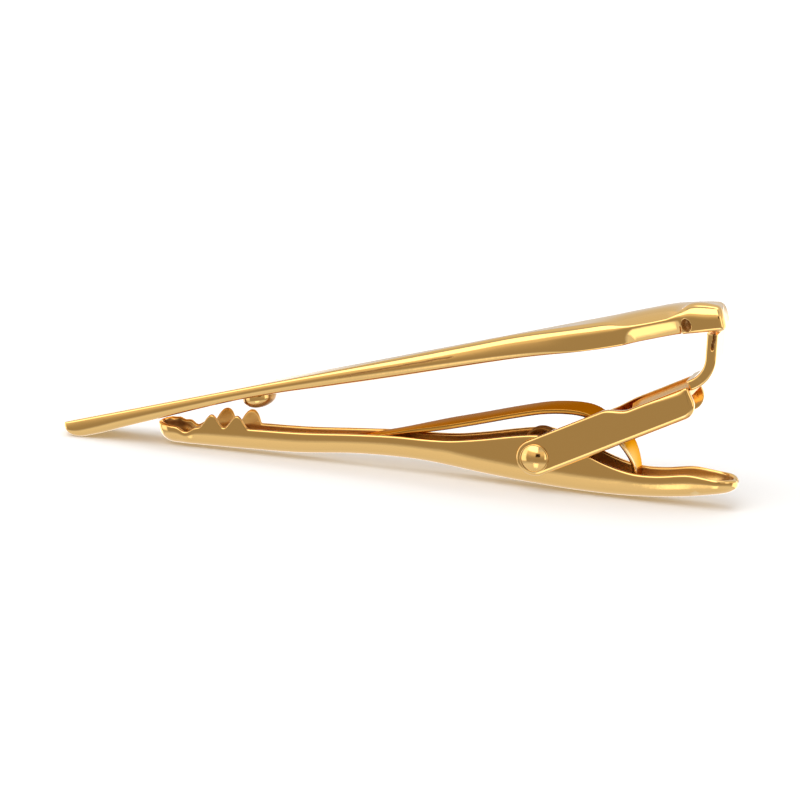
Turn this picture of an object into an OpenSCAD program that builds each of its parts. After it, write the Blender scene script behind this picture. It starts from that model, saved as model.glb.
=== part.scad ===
// Spring tie clip in polished pale gold: a front bar with a brazed neck and channel bracket,
// and a trough-shaped jaw lever that turns on a rivet between the bracket's ears.
// Drawn in millimetres about the rivet's axis, then moved so that the clip stands on z = 0,
// centred on x = 0. X runs along the clip, Y across it, Z up.

/* [Front bar] */
// Length of the bar along its top
bar_len = 56.4; // [40:0.1:75]
// Width of the bar at its widest
bar_w = 5.2; // [3:0.1:9]
// Width of the bar's thin end
bar_tip_w = 4.3; // [2.5:0.1:8]
// Greatest thickness of the bar
bar_t = 2; // [1:0.02:3]
// How far the bar's thin end reaches below the lever's lowest point
bar_tip_drop = 0.22; // [0:0.05:0.6]
// Rise of the domed top over the bar's edges
bar_dome = 0.22; // [0.05:0.01:0.5]
// Largest edge rounding of the bar
bar_round = 0.5; // [0.1:0.05:0.8]
// Depth of the small notch in each side near the thick end
notch_depth = 0.25; // [0.05:0.05:0.6]
// Length of the notch
notch_len = 0.6; // [0.3:0.05:1.5]

/* [Grip button] */
// Diameter of the button under the bar
button_d = 2.8; // [1.5:0.1:4]
// Height of the button below the bar
button_h = 1.15; // [0.4:0.05:2]
// Distance of the button from the bar's thin end
button_from_tip = 16.85; // [10:0.1:30]

/* [Neck] */
// Width of the neck strip
neck_w = 3.9; // [2.5:0.1:6]
// Thickness of the neck strip
neck_t = 0.85; // [0.4:0.05:1.5]
// Radius of the neck's bend at mid thickness
neck_bend_r = 2.4; // [1.2:0.1:4]
// Straight end of the neck past its bend
neck_tail = 0.35; // [0.1:0.05:1]
// Height of the neck from its bend up to the bar
neck_h = 2.3; // [1.4:0.02:4]
// Distance of the neck's middle in from the bar's thick end
neck_inset = 0.85; // [0.6:0.05:4]
// Radius of the brazed flare under the bar
flare_r = 0.4; // [0.1:0.05:0.8]

/* [Bracket] */
// Distance from the rivet to the bracket's open end
bracket_len = 13.8; // [9:0.1:20]
// Height of the bracket's ears
bracket_h = 3.04; // [2:0.02:5]
// Sheet thickness of the bracket
bracket_t = 0.5; // [0.25:0.05:1]
// Slope of the bracket, degrees
bracket_tilt = 27.5; // [15:0.5:40]
// Where the bracket's web starts, from the rivet
web_start = 7.2; // [4.5:0.1:11]
// Drop of the web's top below the top of the arms
web_drop = 0.45; // [0:0.05:1]
// Drop of the far ear's arm below the near one
far_arm_drop = 0.6; // [0:0.05:1]
// Rounding of the ears' lower corner at the open end
bracket_corner_r = 1.2; // [0.2:0.1:1.4]

/* [Jaw lever] */
// How far the bar's thin end reaches past the jaw's tip
tip_reach = 7.86; // [5:0.02:12]
// Distance from the rivet to the end of the thumb tab
lever_back = 16.1; // [10:0.05:24]
// Outer width of the lever at its widest
lever_w = 3.6; // [2.5:0.1:6]
// Sheet thickness of the lever
lever_t = 0.35; // [0.2:0.05:0.8]
// Height of the rivet above the lever's lowest point
pivot_h = 2.62; // [1.8:0.02:5]
// Rounding of the trough's bottom corners
lever_round = 1.2; // [0.3:0.1:1.6]
// Height of the teeth
tooth_h = 1.05; // [0.3:0.05:1.6]
// Pitch of the teeth
tooth_pitch = 2.2; // [1.2:0.1:4]
// Number of teeth on each side
tooth_count = 2; // [1:1:5]
// Distance of the first tooth from the jaw's tip
tooth_from_tip = 4.95; // [2:0.05:10]
// How far the far teeth stand behind the near ones
far_tooth_shift = 0.4; // [0:0.05:1]

/* [Leaf spring] */
// Width of the leaf where it arches over the rivet
leaf_w = 3.5; // [2:0.1:6]
// Width of the leaf's end inside the lever
leaf_foot_w = 2.0; // [1.5:0.1:5]
// Width of the leaf's end inside the thumb tab
leaf_tail_w = 2.1; // [1:0.1:4]
// Thickness of the leaf
leaf_t = 0.45; // [0.2:0.05:0.8]
// Height of the leaf's crown above the rivet
leaf_crown = 4.12; // [3:0.02:6]

/* [Coil spring] */
// Wire thickness of the coil spring
wire_d = 0.28; // [0.2:0.02:0.5]
// Outer diameter of the coils
coil_d = 3; // [2:0.1:4]
// Pitch of the coils along the rivet
coil_pitch = 0.7; // [0.5:0.01:1.2]
// Number of coils
coil_turns = 2; // [2:1:3]
// Distance of the coil's middle from the clip's middle, across the clip
coil_side = 0.5; // [0:0.05:0.5]

/* [Rivet] */
// Diameter of the rivet's shank
rivet_d = 1.1; // [0.6:0.05:2]
// Diameter of the rivet's domed heads
rivet_head_d = 2.34; // [1.4:0.02:4]
// Height of each head
rivet_head_h = 0.5; // [0.2:0.05:1]
// Running gap between the lever and the rivet, on the radius
running_gap = 0.05; // [0.01:0.01:0.1]
// Gap between the lever and each ear of the bracket
side_gap = 0.1; // [0.03:0.01:0.3]

/* [Hidden] */
gold = [0.87, 0.72, 0.45];
bright_gold = [0.93, 0.79, 0.52];
deep_gold = [0.78, 0.58, 0.28];

// A depth by which brazed pieces sink into each other, and the overrun of every cut
sink = 0.12;
overrun = 0.5;

// Cubic curve through a table of [place, value] pairs
function cell(t, x, i = 0) = i >= len(t) - 2 || x < t[i + 1].x ? i : cell(t, x, i + 1);
function slope(t, i) =
    let (a = max(i - 1, 0), b = min(i + 1, len(t) - 1))
    (t[b].y - t[a].y) / (t[b].x - t[a].x);
function curve(t, x) =
    let (
        i = cell(t, x),
        h = t[i + 1].x - t[i].x,
        s = max(0, min(1, (x - t[i].x) / h)),
        m = slope(t, i) * h,
        n = slope(t, i + 1) * h
    )
    t[i].y * (1 + 2 * s) * (1 - s) * (1 - s) + m * s * (1 - s) * (1 - s)
    + t[i + 1].y * s * s * (3 - 2 * s) + n * s * s * (s - 1);

// A quarter-round run-out: 0 at an end, 1 from a distance r inwards
function round_end(d, r) = d >= r ? 1 : sqrt(max(0, 1 - pow(1 - d / r, 2)));

// Steps in each rounded corner of a section
corner_steps = 4;

// Closed skin over a list of rings that each have the same number of points
module loft(rings) {
    n = len(rings);
    k = len(rings[0]);
    sides = [
        for (i = [0:n - 2], j = [0:k - 1])
            let (a = i * k + j, b = i * k + (j + 1) % k)
            each [[a, b, b + k], [a, b + k, a + k]]
    ];
    ends = [
        [for (j = [k - 1:-1:0]) j],
        [for (j = [0:k - 1]) (n - 1) * k + j]
    ];
    polyhedron(points = [for (r = rings) each r], faces = concat(sides, ends));
}

// Bracket: p runs from the rivet to the open end, q across the ears
bracket_w = lever_w + 2 * side_gap + 2 * bracket_t;
web_top = bracket_h / 2 - web_drop;
shoulder_share = 0.8;
shoulder_r = bracket_t * shoulder_share;
ramp_len = bracket_h / 2;
function on_bracket(p, q) = [
    p * cos(bracket_tilt) - q * sin(bracket_tilt),
    p * sin(bracket_tilt) + q * cos(bracket_tilt)
];

module ear_outline(drop) {
    r = bracket_h / 2;
    c = bracket_corner_r;
    top = r - drop;
    polygon(concat(
        [for (a = [90:7.5:270]) [r * cos(a), min(r * sin(a), top)]],
        [for (a = [-90:15:0]) [bracket_len - c + c * cos(a), -r + c + c * sin(a)]],
        [
            [bracket_len, web_top - shoulder_r],
            [web_start + ramp_len, web_top - shoulder_r],
            [web_start, top]
        ]
    ));
}

module web_section() {
    h = bracket_w / 2;
    s = shoulder_r;
    polygon(concat(
        [[-h, web_top - s]],
        [for (a = [0:15:90]) [-h + s - s * cos(a), web_top - s + s * sin(a)]],
        [for (a = [90:-15:0]) [h - s + s * cos(a), web_top - s + s * sin(a)]],
        [
            [h - bracket_t, web_top - s], [h - bracket_t, web_top - bracket_t],
            [-h + bracket_t, web_top - bracket_t], [-h + bracket_t, web_top - s]
        ]
    ));
}

module pivot_bracket() {
    color(gold)
        rotate([0, -bracket_tilt, 0])
            difference() {
                union() {
                    for (side = [0, 1])
                        mirror([0, side, 0])
                            translate([0, bracket_w / 2, 0])
                                rotate([90, 0, 0])
                                    linear_extrude(bracket_t) ear_outline((1 - side) * far_arm_drop);
                    translate([web_start, 0, 0])
                        rotate([90, 0, 90])
                            linear_extrude(bracket_len - web_start) web_section();
                }
                rotate([90, 0, 0])
                    cylinder(d = rivet_d, h = bracket_w + 2 * overrun, center = true, $fn = 48);
            }
}

head_dome_share = 0.44;
module rivet_head() {
    rim = rivet_head_h / 4;
    dome_r = rivet_head_d * head_dome_share;
    arc = [
        for (a = [0:10:90])
            [dome_r * cos(a), rim + (rivet_head_h - rim) * sin(a)]
    ];
    translate([0, 0, bracket_w / 2])
        rotate_extrude($fn = 64)
            polygon(concat([[0, 0], [rivet_head_d / 2, 0], [rivet_head_d / 2, rim]], arc));
}

module pivot_rivet() {
    color(bright_gold)
        rotate([90, 0, 0]) {
            cylinder(d = rivet_d, h = bracket_w, center = true, $fn = 48);
            rivet_head();
            mirror([0, 0, 1]) rivet_head();
        }
}

// Front bar, along u from its thin end and v up from its top
bar_t_shares = [
    [0, 0.675], [0.05, 0.702], [0.09, 0.635], [0.141, 0.565], [0.205, 0.475], [0.268, 0.405],
    [0.343, 0.43], [0.418, 0.545], [0.516, 0.665], [0.613, 0.745], [0.708, 0.835], [0.8, 1.005],
    [0.85, 1.075], [0.895, 1.065], [0.941, 1.075], [0.97, 1.155], [1, 1.265]
];
bar_swell_shares = [
    [0, 0], [0.5, 0.45], [0.72, 0.72], [0.8, 1], [0.85, 0.78], [0.895, 0.45], [0.935, 0.75],
    [0.97, 1], [1, 0.9]
];
heel_start_share = 0.91;
heel_fall_share = 0.3;
tip_rise_share = 0.85;
bar_end_w_share = 0.62;
notch_at_share = 0.947;
side_round_share = 0.42;
dome_share = 0.25;
dome_half_share = 0.75;
tip_round = 1.45;
heel_round = 1.2;

function bar_thick(u) = bar_t * curve(bar_t_shares, u / bar_len);
function bar_over(u) =
    let (s = max(0, u / bar_len - heel_start_share) / (1 - heel_start_share))
    -bar_t * heel_fall_share * s * s;
function bar_under(u) =
    -bar_thick(u) * (1 - tip_rise_share * (1 - round_end(u, tip_round)));
function notch(u) =
    let (d = abs(u - notch_at_share * bar_len) / (notch_len / 2))
    d >= 1 ? 0 : notch_depth * (1 - d * d);
function bar_half(u) =
    let (
        w = bar_tip_w + (bar_w - bar_tip_w) * curve(bar_swell_shares, u / bar_len),
        e = round_end(u, tip_round) * round_end(bar_len - u, heel_round)
    )
    w / 2 * (bar_end_w_share + (1 - bar_end_w_share) * e) - notch(u);

// Right half of the bar's section at u, from the bottom to the top, in y and v
function bar_side(u) =
    let (
        h = bar_half(u),
        top = bar_over(u),
        low = bar_under(u),
        dome = min(bar_dome, (top - low) * dome_share),
        edge = top - dome,
        r = min(bar_round, (edge - low) * side_round_share),
        q = [for (i = [0:corner_steps]) 90 * i / corner_steps]
    )
    concat(
        [for (a = q) [h - r + r * sin(a), low + r - r * cos(a)]],
        [for (a = q) [h - r + r * cos(a), edge - r + r * sin(a)]],
        [[(h - r) / 2, edge + dome * dome_half_share]]
    );

// Neck: straight down from the bar, then bent in to meet the bracket's web end to end
neck_turn = 90 - bracket_tilt;
web_end = on_bracket(bracket_len, web_top - bracket_t / 2);
neck_x = web_end.x + neck_tail * cos(bracket_tilt) + neck_bend_r * (1 - cos(neck_turn));
bend_z = web_end.y + neck_tail * sin(bracket_tilt) + neck_bend_r * sin(neck_turn);
neck_u = bar_len - neck_inset;

// The bar stands on the neck and slopes down until its thin end is just under the lever's lowest
// point, so its slope is settled from its length and the neck's height in a few rounds
settle_rounds = 12;
function bar_low_z(tilt) = min([
    for (u = [0:tip_round / 8:tip_round * 2]) u * sin(tilt) + bar_under(u) * cos(tilt)
]);
function bar_start_z(tilt) = -pivot_h - bar_tip_drop - bar_low_z(tilt);
function settled(tilt, n) =
    let (rise = bend_z + neck_h - bar_start_z(tilt) - bar_under(neck_u) * cos(tilt))
    n < 1 ? tilt : settled(asin(rise / neck_u), n - 1);
bar_tilt = settled(0, settle_rounds);
bar_tip_z = bar_start_z(bar_tilt);
bar_reach = neck_u * cos(bar_tilt) - bar_under(neck_u) * sin(bar_tilt) - neck_x;
function on_bar(u, y, v) = [
    u * cos(bar_tilt) - v * sin(bar_tilt) - bar_reach,
    y,
    u * sin(bar_tilt) + v * cos(bar_tilt) + bar_tip_z
];
function bar_ring(u) =
    let (side = bar_side(u), n = len(side))
    concat(
        [for (p = side) on_bar(u, -p.x, p.y)],
        [on_bar(u, 0, bar_over(u))],
        [for (i = [n - 1:-1:0]) on_bar(u, side[i].x, side[i].y)]
    );
bar_step = 1.1;
notch_at = notch_at_share * bar_len;
notch_step = notch_len / 4;
bar_places = concat(
    [for (a = [0:15:75]) tip_round * (1 - cos(a))],
    [for (u = [tip_round:bar_step:notch_at - notch_len]) u],
    [for (i = [-2:2]) notch_at + i * notch_step],
    [notch_at + notch_len],
    [for (a = [90:-15:0]) bar_len - heel_round * (1 - cos(a))]
);
bar_rings = [for (u = bar_places) bar_ring(u)];

module front_bar() {
    color(gold) loft(bar_rings);
}

module grip_button() {
    foot = button_h / 4;
    arc = [
        for (a = [0:10:90])
            [button_d / 2 * cos(a), foot + (button_h - foot) * sin(a)]
    ];
    color(bright_gold)
        translate(on_bar(button_from_tip, 0, bar_under(button_from_tip)))
            rotate([180, -bar_tilt, 0])
                rotate_extrude($fn = 48)
                    polygon(concat([[0, -sink], [button_d / 2, -sink]], arc));
}

function neck_side(d) = [
    for (a = [0:7.5:neck_turn])
        [neck_x - neck_bend_r + (neck_bend_r + d) * cos(a), bend_z - (neck_bend_r + d) * sin(a)]
];

module neck_strip() {
    h = neck_t / 2;
    f = flare_r;
    across = [cos(neck_turn), -sin(neck_turn)];
    slope_z = tan(bar_tilt);
    under = on_bar(neck_u, 0, bar_under(neck_u)).z;
    left = under - (h + f) * slope_z;
    color(gold)
        rotate([90, 0, 0])
            linear_extrude(neck_w, center = true)
                polygon(concat(
                    [[neck_x + h, under + h * slope_z + sink]],
                    neck_side(h),
                    [web_end + h * across, web_end - h * across],
                    [for (p = [len(neck_side(0)) - 1:-1:0]) neck_side(-h)[p]],
                    [for (a = [0:15:90]) [neck_x - h - f + f * cos(a), left - f + f * sin(a)]],
                    [[neck_x - h - f, left + sink]]
                ));
}

// Lever: it ends short of the bar's thin end. Heights are shares of the rivet's height over the lever's lowest point, and places are
// shares of the lever's reach in front of the rivet (below zero) and behind it (above zero)
lever_front = bar_reach - tip_reach;
lever_low_shares = [
    [-1, 0], [-0.9, 0], [-0.74, 0.05], [-0.62, 0.115], [-0.48, 0.295], [-0.37, 0.355],
    [-0.28, 0.335], [-0.14, 0.175], [0, 0.06], [0.28, 0], [0.49, 0.03], [0.74, 0.185], [1, 0.5]
];
lever_rim_shares = [
    [-1, 0.665], [-0.96, 0.595], [-0.94, 0.575], [-0.916, 0.455], [-0.89, 0.625], [-0.85, 0.7],
    [-0.755, 0.765], [-0.61, 0.845], [-0.48, 0.985], [-0.37, 1.085], [-0.28, 1.115],
    [-0.217, 1.175], [-0.14, 1.345], [-0.07, 1.535], [-0.015, 1.655], [0.03, 1.675],
    [0.155, 1.495], [0.265, 1.215], [0.34, 1.035], [0.43, 0.88], [0.51, 0.81], [0.615, 0.835],
    [0.76, 0.97], [0.86, 0.94], [0.935, 0.905], [1, 0.935]
];
lever_w_shares = [
    [-1, 0.84], [-0.8, 0.8], [-0.5, 0.76], [-0.3, 0.84], [-0.1, 0.96], [0.1, 1], [1, 0.97]
];
end_rise_share = 0.85;
end_width_share = 0.3;
corner_share = 0.8;
tip_bow = 1.6;
tab_bow = 0.9;
plan_bow = 1.7;

function lever_place(x) = x < 0 ? x / lever_front : x / lever_back;
function lever_end(x) = min(x + lever_front, lever_back - x);
function tooth(x, side) =
    let (
        first = -lever_front + tooth_from_tip + (side > 0 ? far_tooth_shift : 0),
        n = max(0, min(tooth_count - 1, round((x - first) / tooth_pitch))),
        d = abs(x - first - n * tooth_pitch) / (tooth_pitch / 2)
    )
    d >= 1 ? 0 : tooth_h * pow(cos(90 * d), 2);
function rim_line(x) = pivot_h * (curve(lever_rim_shares, lever_place(x)) - 1);
function lever_rim(x, side) = rim_line(x) + tooth(x, side);
function low_line(x) = pivot_h * (curve(lever_low_shares, lever_place(x)) - 1);
function lever_low(x) =
    let (bow = round_end(x + lever_front, tip_bow) * round_end(lever_back - x, tab_bow))
    low_line(x) + (rim_line(x) - low_line(x)) * end_rise_share * (1 - bow);
function lever_half(x) =
    lever_w / 2 * curve(lever_w_shares, lever_place(x))
    * (end_width_share + (1 - end_width_share) * round_end(lever_end(x), plan_bow));
function lever_floor(x) = lever_low(x) + lever_t;

// Open U from the near rim round the bottom to the far rim, drawn in by d for the inside
function lever_u(x, d) =
    let (
        h = lever_half(x) - d,
        low = lever_low(x) + d,
        r = max(min(lever_round - d, (rim_line(x) - low) * corner_share, h * corner_share), d / 4),
        q = [for (i = [0:corner_steps]) 90 * i / corner_steps]
    )
    concat(
        [[x, -h, lever_rim(x, -1)]],
        [for (a = q) [x, -h + r - r * cos(a), low + r - r * sin(a)]],
        [for (a = q) [x, h - r + r * sin(a), low + r - r * cos(a)]],
        [[x, h, lever_rim(x, 1)]]
    );

teeth_parts = 12;
tooth_step = tooth_pitch / teeth_parts;
lever_step = 0.9;
tooth_zone = [
    -lever_front + tooth_from_tip - tooth_pitch / 2,
    -lever_front + tooth_from_tip + (tooth_count - 0.5) * tooth_pitch + far_tooth_shift
];
tip_zone = -lever_front + plan_bow;
lever_places = concat(
    [-lever_front],
    [for (a = [45:15:90]) -lever_front + plan_bow * (1 - cos(a))],
    [for (x = [tip_zone + tooth_step * 2:tooth_step * 2:tooth_zone[0] - tooth_step]) x],
    [for (x = [tooth_zone[0]:tooth_step:tooth_zone[1] + tooth_step / 2]) x],
    [for (x = [tooth_zone[1] + lever_step:lever_step:lever_back - plan_bow - lever_step / 2]) x],
    [for (a = [90:-15:45]) lever_back - plan_bow * (1 - cos(a))],
    [lever_back]
);

// Skin of a trough: an outer and an inner U at each place, with solid ends
module trough(places) {
    n = len(places);
    k = 2 * corner_steps + 4;
    m = n - 2;
    outer = [for (x = places) each lever_u(x, 0)];
    inner = [for (i = [1:m]) each lever_u(places[i], lever_t)];
    base = n * k;
    outside = [
        for (i = [0:n - 2], j = [0:k - 2])
            let (a = i * k + j)
            each [[a, a + k, a + k + 1], [a, a + k + 1, a + 1]]
    ];
    inside = [
        for (i = [0:m - 2], j = [0:k - 2])
            let (a = base + i * k + j)
            each [[a, a + k + 1, a + k], [a, a + 1, a + k + 1]]
    ];
    rims = [
        for (i = [0:m - 2])
            let (a = (i + 1) * k, c = base + i * k, b = a + k - 1, d = c + k - 1)
            each [
                [a, c, c + k], [a, c + k, a + k],
                [b, d + k, d], [b, b + k, d + k]
            ]
    ];
    caps = [
        [for (j = [0:k - 1]) j],
        [for (j = [k - 1:-1:0]) (n - 1) * k + j],
        [for (j = [k - 1:-1:0]) base + j],
        [for (j = [0:k - 1]) base + (m - 1) * k + j],
        [0, k - 1, 2 * k - 1, base + k - 1, base, k],
        [
            (n - 1) * k, (n - 2) * k, base + (m - 1) * k, base + m * k - 1,
            (n - 1) * k - 1, n * k - 1
        ]
    ];
    polyhedron(points = concat(outer, inner), faces = concat(outside, inside, rims, caps));
}

module rivet_hole(gap) {
    rotate([90, 0, 0])
        cylinder(d = rivet_d + 2 * gap, h = lever_w + 2 * overrun, center = true, $fn = 48);
}

module jaw_lever() {
    color(gold)
        difference() {
            trough(lever_places);
            rivet_hole(running_gap);
        }
}

// Leaf spring: its foot lies in the lever, its arch passes over the rivet and under the
// bracket's web, and its tail goes down into the thumb tab. The shares run along the leaf's
// reach and from the trough's floor (0) up to the crown (1).
leaf_foot_share = 0.675;
leaf_crown_share = 0.32;
leaf_back_share = 1.13;
leaf_front = lever_front * leaf_foot_share;
leaf_crown_x = web_start * leaf_crown_share;
leaf_back = web_start * leaf_back_share;
leaf_front_shares = [
    [0, 0], [0.08, 0.036], [0.206, 0.142], [0.358, 0.307], [0.494, 0.472], [0.675, 0.684],
    [0.811, 0.85], [0.914, 0.96], [1, 1]
];
leaf_back_shares = [
    [0.25, 0.985], [0.42, 0.92], [0.6, 0.81], [0.75, 0.7], [0.87, 0.57], [0.96, 0.41], [1, 0.25],
    [1, 0]
];
leaf_steps = 4;
leaf_sink = 0.03;
function leaf_z(x, s) =
    let (floor_z = lever_floor(x) + leaf_t * (x < 0 ? 1 : 0) - leaf_sink)
    floor_z + s * (leaf_crown - floor_z);
leaf_knots = concat(
    [
        for (p = leaf_front_shares)
            let (x = -leaf_front + p.x * (leaf_front + leaf_crown_x))
            [x, leaf_z(-leaf_front, p.y)]
    ],
    [
        for (p = leaf_back_shares)
            let (x = leaf_crown_x + p.x * (leaf_back - leaf_crown_x))
            [x, leaf_z(leaf_back, p.y)]
    ]
);
function knot(t, i) = t[max(0, min(len(t) - 1, i))];
function bend(t, i, s) =
    let (a = knot(t, i - 1), b = knot(t, i), c = knot(t, i + 1), d = knot(t, i + 2))
    (2 * b + (c - a) * s + (2 * a - 5 * b + 4 * c - d) * s * s
        + (3 * b - a - 3 * c + d) * s * s * s) / 2;
leaf_path = concat(
    [for (i = [0:len(leaf_knots) - 2], k = [0:leaf_steps - 1]) bend(leaf_knots, i, k / leaf_steps)],
    [knot(leaf_knots, len(leaf_knots) - 1)]
);
foot_reach_share = 0.37;
foot_widen_share = 0.2;
tail_low_share = 0.1;
tail_widen_share = 0.55;
function leaf_half(p) =
    let (
        from_foot = p.x + lever_front * foot_reach_share,
        from_tail = p.y + pivot_h * tail_low_share,
        foot = max(0, min(1, from_foot / (lever_front * foot_widen_share))),
        tail = p.x < leaf_crown_x ? 1 : max(0, min(1, from_tail / (leaf_crown * tail_widen_share))),
        wide = leaf_foot_w + (leaf_w - leaf_foot_w) * foot * foot * (3 - 2 * foot)
    )
    (leaf_tail_w + (wide - leaf_tail_w) * tail * tail * (3 - 2 * tail)) / 2;
function leaf_ring(i) =
    let (
        n = len(leaf_path),
        p = leaf_path[i],
        d = leaf_path[min(n - 1, i + 1)] - leaf_path[max(0, i - 1)],
        q = p + leaf_t * [d.y, -d.x] / norm(d),
        h = leaf_half(p)
    )
    [[p.x, -h, p.y], [p.x, h, p.y], [q.x, h, q.y], [q.x, -h, q.y]];

module leaf_spring() {
    color(deep_gold) loft([for (i = [0:len(leaf_path) - 1]) leaf_ring(i)]);
}

// Coil spring round the rivet: one leg runs forward and one back along the trough's floor
coil_steps = 8;
wire_sides = 6;
wire_r = wire_d / 2;
coil_r = coil_d / 2 - wire_r;
coil_lift_share = 0.64;
leg_share = 1.4;
coil_x = 0;
coil_z = (coil_r - wire_r - rivet_d / 2) * coil_lift_share;
leg_len = coil_d * leg_share;
coil_span = coil_pitch * coil_turns;
function leg_z(x) = lever_floor(x) + wire_r - leaf_sink;
function leg(side, s) =
    let (x = coil_x + side * leg_len * s)
    [x, coil_side + side * coil_span / 2, (coil_z - coil_r) * (1 - s) + leg_z(coil_x + side * leg_len) * s, -90];
wire_path = concat(
    [for (s = [1, 0.5]) leg(-1, s)],
    [
        for (i = [0:coil_steps * coil_turns])
            let (a = i * 360 / coil_steps - 90)
            [
                coil_x + coil_r * cos(a),
                coil_side + coil_pitch * i / coil_steps - coil_span / 2,
                coil_z + coil_r * sin(a),
                a
            ]
    ],
    [for (s = [0.5, 1]) leg(1, s)]
);
function wire_ring(p) = [
    for (j = [0:wire_sides - 1])
        let (a = j * 360 / wire_sides)
        [
            p[0] + wire_r * cos(a) * cos(p[3]),
            p[1] - wire_r * sin(a),
            p[2] + wire_r * cos(a) * sin(p[3])
        ]
];
wire_gap = min([
    for (i = [0:coil_steps * (coil_turns - 1)])
        let (a = wire_path[i + 2], b = wire_path[i + 2 + coil_steps])
        norm([b[0] - a[0], b[1] - a[1], b[2] - a[2]]) - wire_d
]);
echo(least_gap_of_the_coil_to_itself = wire_gap);

module coil_spring() {
    color(deep_gold) loft([for (p = wire_path) wire_ring(p)]);
}

// The clip stands on z = 0 with its ends at equal distances from x = 0
reach_left = min([for (r = bar_rings, p = r) p.x]);
shift_x = -(reach_left + lever_back) / 2;
shift_z = -min(concat([for (x = lever_places) lever_low(x)], [for (r = bar_rings, p = r) p.z]));
module placed() {
    translate([shift_x, 0, shift_z]) children();
}

placed() front_bar();
placed() grip_button();
placed() neck_strip();
placed() pivot_bracket();
placed() pivot_rivet();
placed() jaw_lever();
placed() leaf_spring();
placed() coil_spring();
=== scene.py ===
# %% [markdown]
# # A spring tie clip in polished pale gold
# The clip has a long front bar, a brazed neck with a folded bracket, and a trough-shaped jaw
# lever that turns on a rivet. A leaf and a small coil spring close the jaw. This notebook loads
# the engineering model as a fixed frame and dresses every piece with a finer mesh and a finish.

# %% Load the frame
from math import acos, asin, atan, copysign, cos, degrees, dist, exp, hypot, pi, radians, sin, sqrt, tan

import bmesh
import bpy
from mathutils import Matrix, Vector


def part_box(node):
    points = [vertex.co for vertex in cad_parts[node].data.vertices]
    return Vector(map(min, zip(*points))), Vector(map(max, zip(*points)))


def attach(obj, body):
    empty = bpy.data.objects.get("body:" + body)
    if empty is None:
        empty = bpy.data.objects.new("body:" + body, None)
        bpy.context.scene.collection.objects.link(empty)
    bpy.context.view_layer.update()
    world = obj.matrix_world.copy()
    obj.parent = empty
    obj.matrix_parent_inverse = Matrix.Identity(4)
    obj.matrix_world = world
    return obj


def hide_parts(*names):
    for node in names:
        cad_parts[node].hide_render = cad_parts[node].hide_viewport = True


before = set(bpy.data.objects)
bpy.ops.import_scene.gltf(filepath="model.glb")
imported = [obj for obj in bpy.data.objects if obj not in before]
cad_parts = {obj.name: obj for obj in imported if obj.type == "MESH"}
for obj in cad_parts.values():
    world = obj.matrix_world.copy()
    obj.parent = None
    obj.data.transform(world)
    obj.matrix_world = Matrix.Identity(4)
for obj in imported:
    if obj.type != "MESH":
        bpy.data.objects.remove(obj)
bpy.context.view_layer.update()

# %% [markdown]
# ## Where everything is measured from
# A clip like this is drawn about its rivet, because both halves turn on it. Sizes below are in
# millimetres from the rivet's axis, and one helper turns them into metres in the frame. The
# rivet's place is read from the frame, so nothing is fitted by eye.

# %% Rivet axis and millimetres
MM = 0.001
rivet_low, rivet_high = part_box("pivot_rivet")
rivet_at = (rivet_low + rivet_high) / 2


def placed(point):
    """A point in millimetres about the rivet, as metres in the frame."""
    x, y, z = point
    return Vector((rivet_at.x + x * MM, y * MM, rivet_at.z + z * MM))


print("rivet axis at", tuple(round(c, 5) for c in rivet_at))

# %% [markdown]
# ## The camera
# The clip is seen a little from the right and a little from above, from about 25 cm away with a
# long lens, and the picture is turned a few degrees. The camera's matrix is built from those
# angles, which keeps them readable.

# %% Camera
scene = bpy.context.scene


def add_object(name, data):
    made = bpy.data.objects.new(name, data)
    scene.collection.objects.link(made)
    return made


VIEW_RIGHT_DEG = 15.4
VIEW_UP_DEG = 12.7
VIEW_ROLL_DEG = 3.0
VIEW_DISTANCE = 0.250
LENS_MM = 138.375
AIM = Vector((0.00018, 0.0, 0.00580))
a, e, t = (radians(v) for v in (VIEW_RIGHT_DEG, VIEW_UP_DEG, VIEW_ROLL_DEG))
back = Vector((sin(a) * cos(e), -cos(a) * cos(e), sin(e)))
level = Vector((cos(a), sin(a), 0.0))
rise = back.cross(level)
right = cos(t) * level + sin(t) * rise
up = cos(t) * rise - sin(t) * level
camera_data = bpy.data.cameras.new("camera")
camera_data.lens = LENS_MM
camera_data.sensor_width = 36.0
camera_data.clip_start = 0.01
camera = add_object("camera", camera_data)
turn = Matrix((right, up, back)).transposed().to_4x4()
camera.matrix_world = Matrix.Translation(AIM + VIEW_DISTANCE * back) @ turn
scene.camera = camera
scene.view_settings.view_transform = "Standard"
print("camera at", tuple(round(c, 4) for c in camera.matrix_world.translation))

# %% [markdown]
# ## Floor and light
# Polished metal has no colour of its own to show: it shows the studio. So the studio is drawn
# first, as a plain soft tent: a grey room whose level changes with height, and soft-edged patches
# laid over it. White sweeps and boxes stand behind and at the sides, canopies hang over front and
# back, the table glows in front, and the lens is a small dark spot. Lamps could do part of this,
# but a drawn tent gives the long soft reflections that flat sheet metal needs. The floor is plain
# pale paper.

# %% Small node helpers
def node(tree, kind, inputs=None, **settings):
    """Adds a node, sets its properties, and links or sets its inputs."""
    made = tree.nodes.new(kind)
    for key, value in settings.items():
        setattr(made, key, value)
    for key, value in (inputs or {}).items():
        if isinstance(value, bpy.types.NodeSocket):
            tree.links.new(value, made.inputs[key])
        else:
            made.inputs[key].default_value = value
    return made


def math_node(tree, operation, a, b=0.0):
    return node(tree, "ShaderNodeMath", {0: a, 1: b}, operation=operation).outputs[0]


def mix_colours(tree, factor, a, b):
    return node(tree, "ShaderNodeMix", {0: factor, 6: a, 7: b}, data_type="RGBA").outputs[2]


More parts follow.
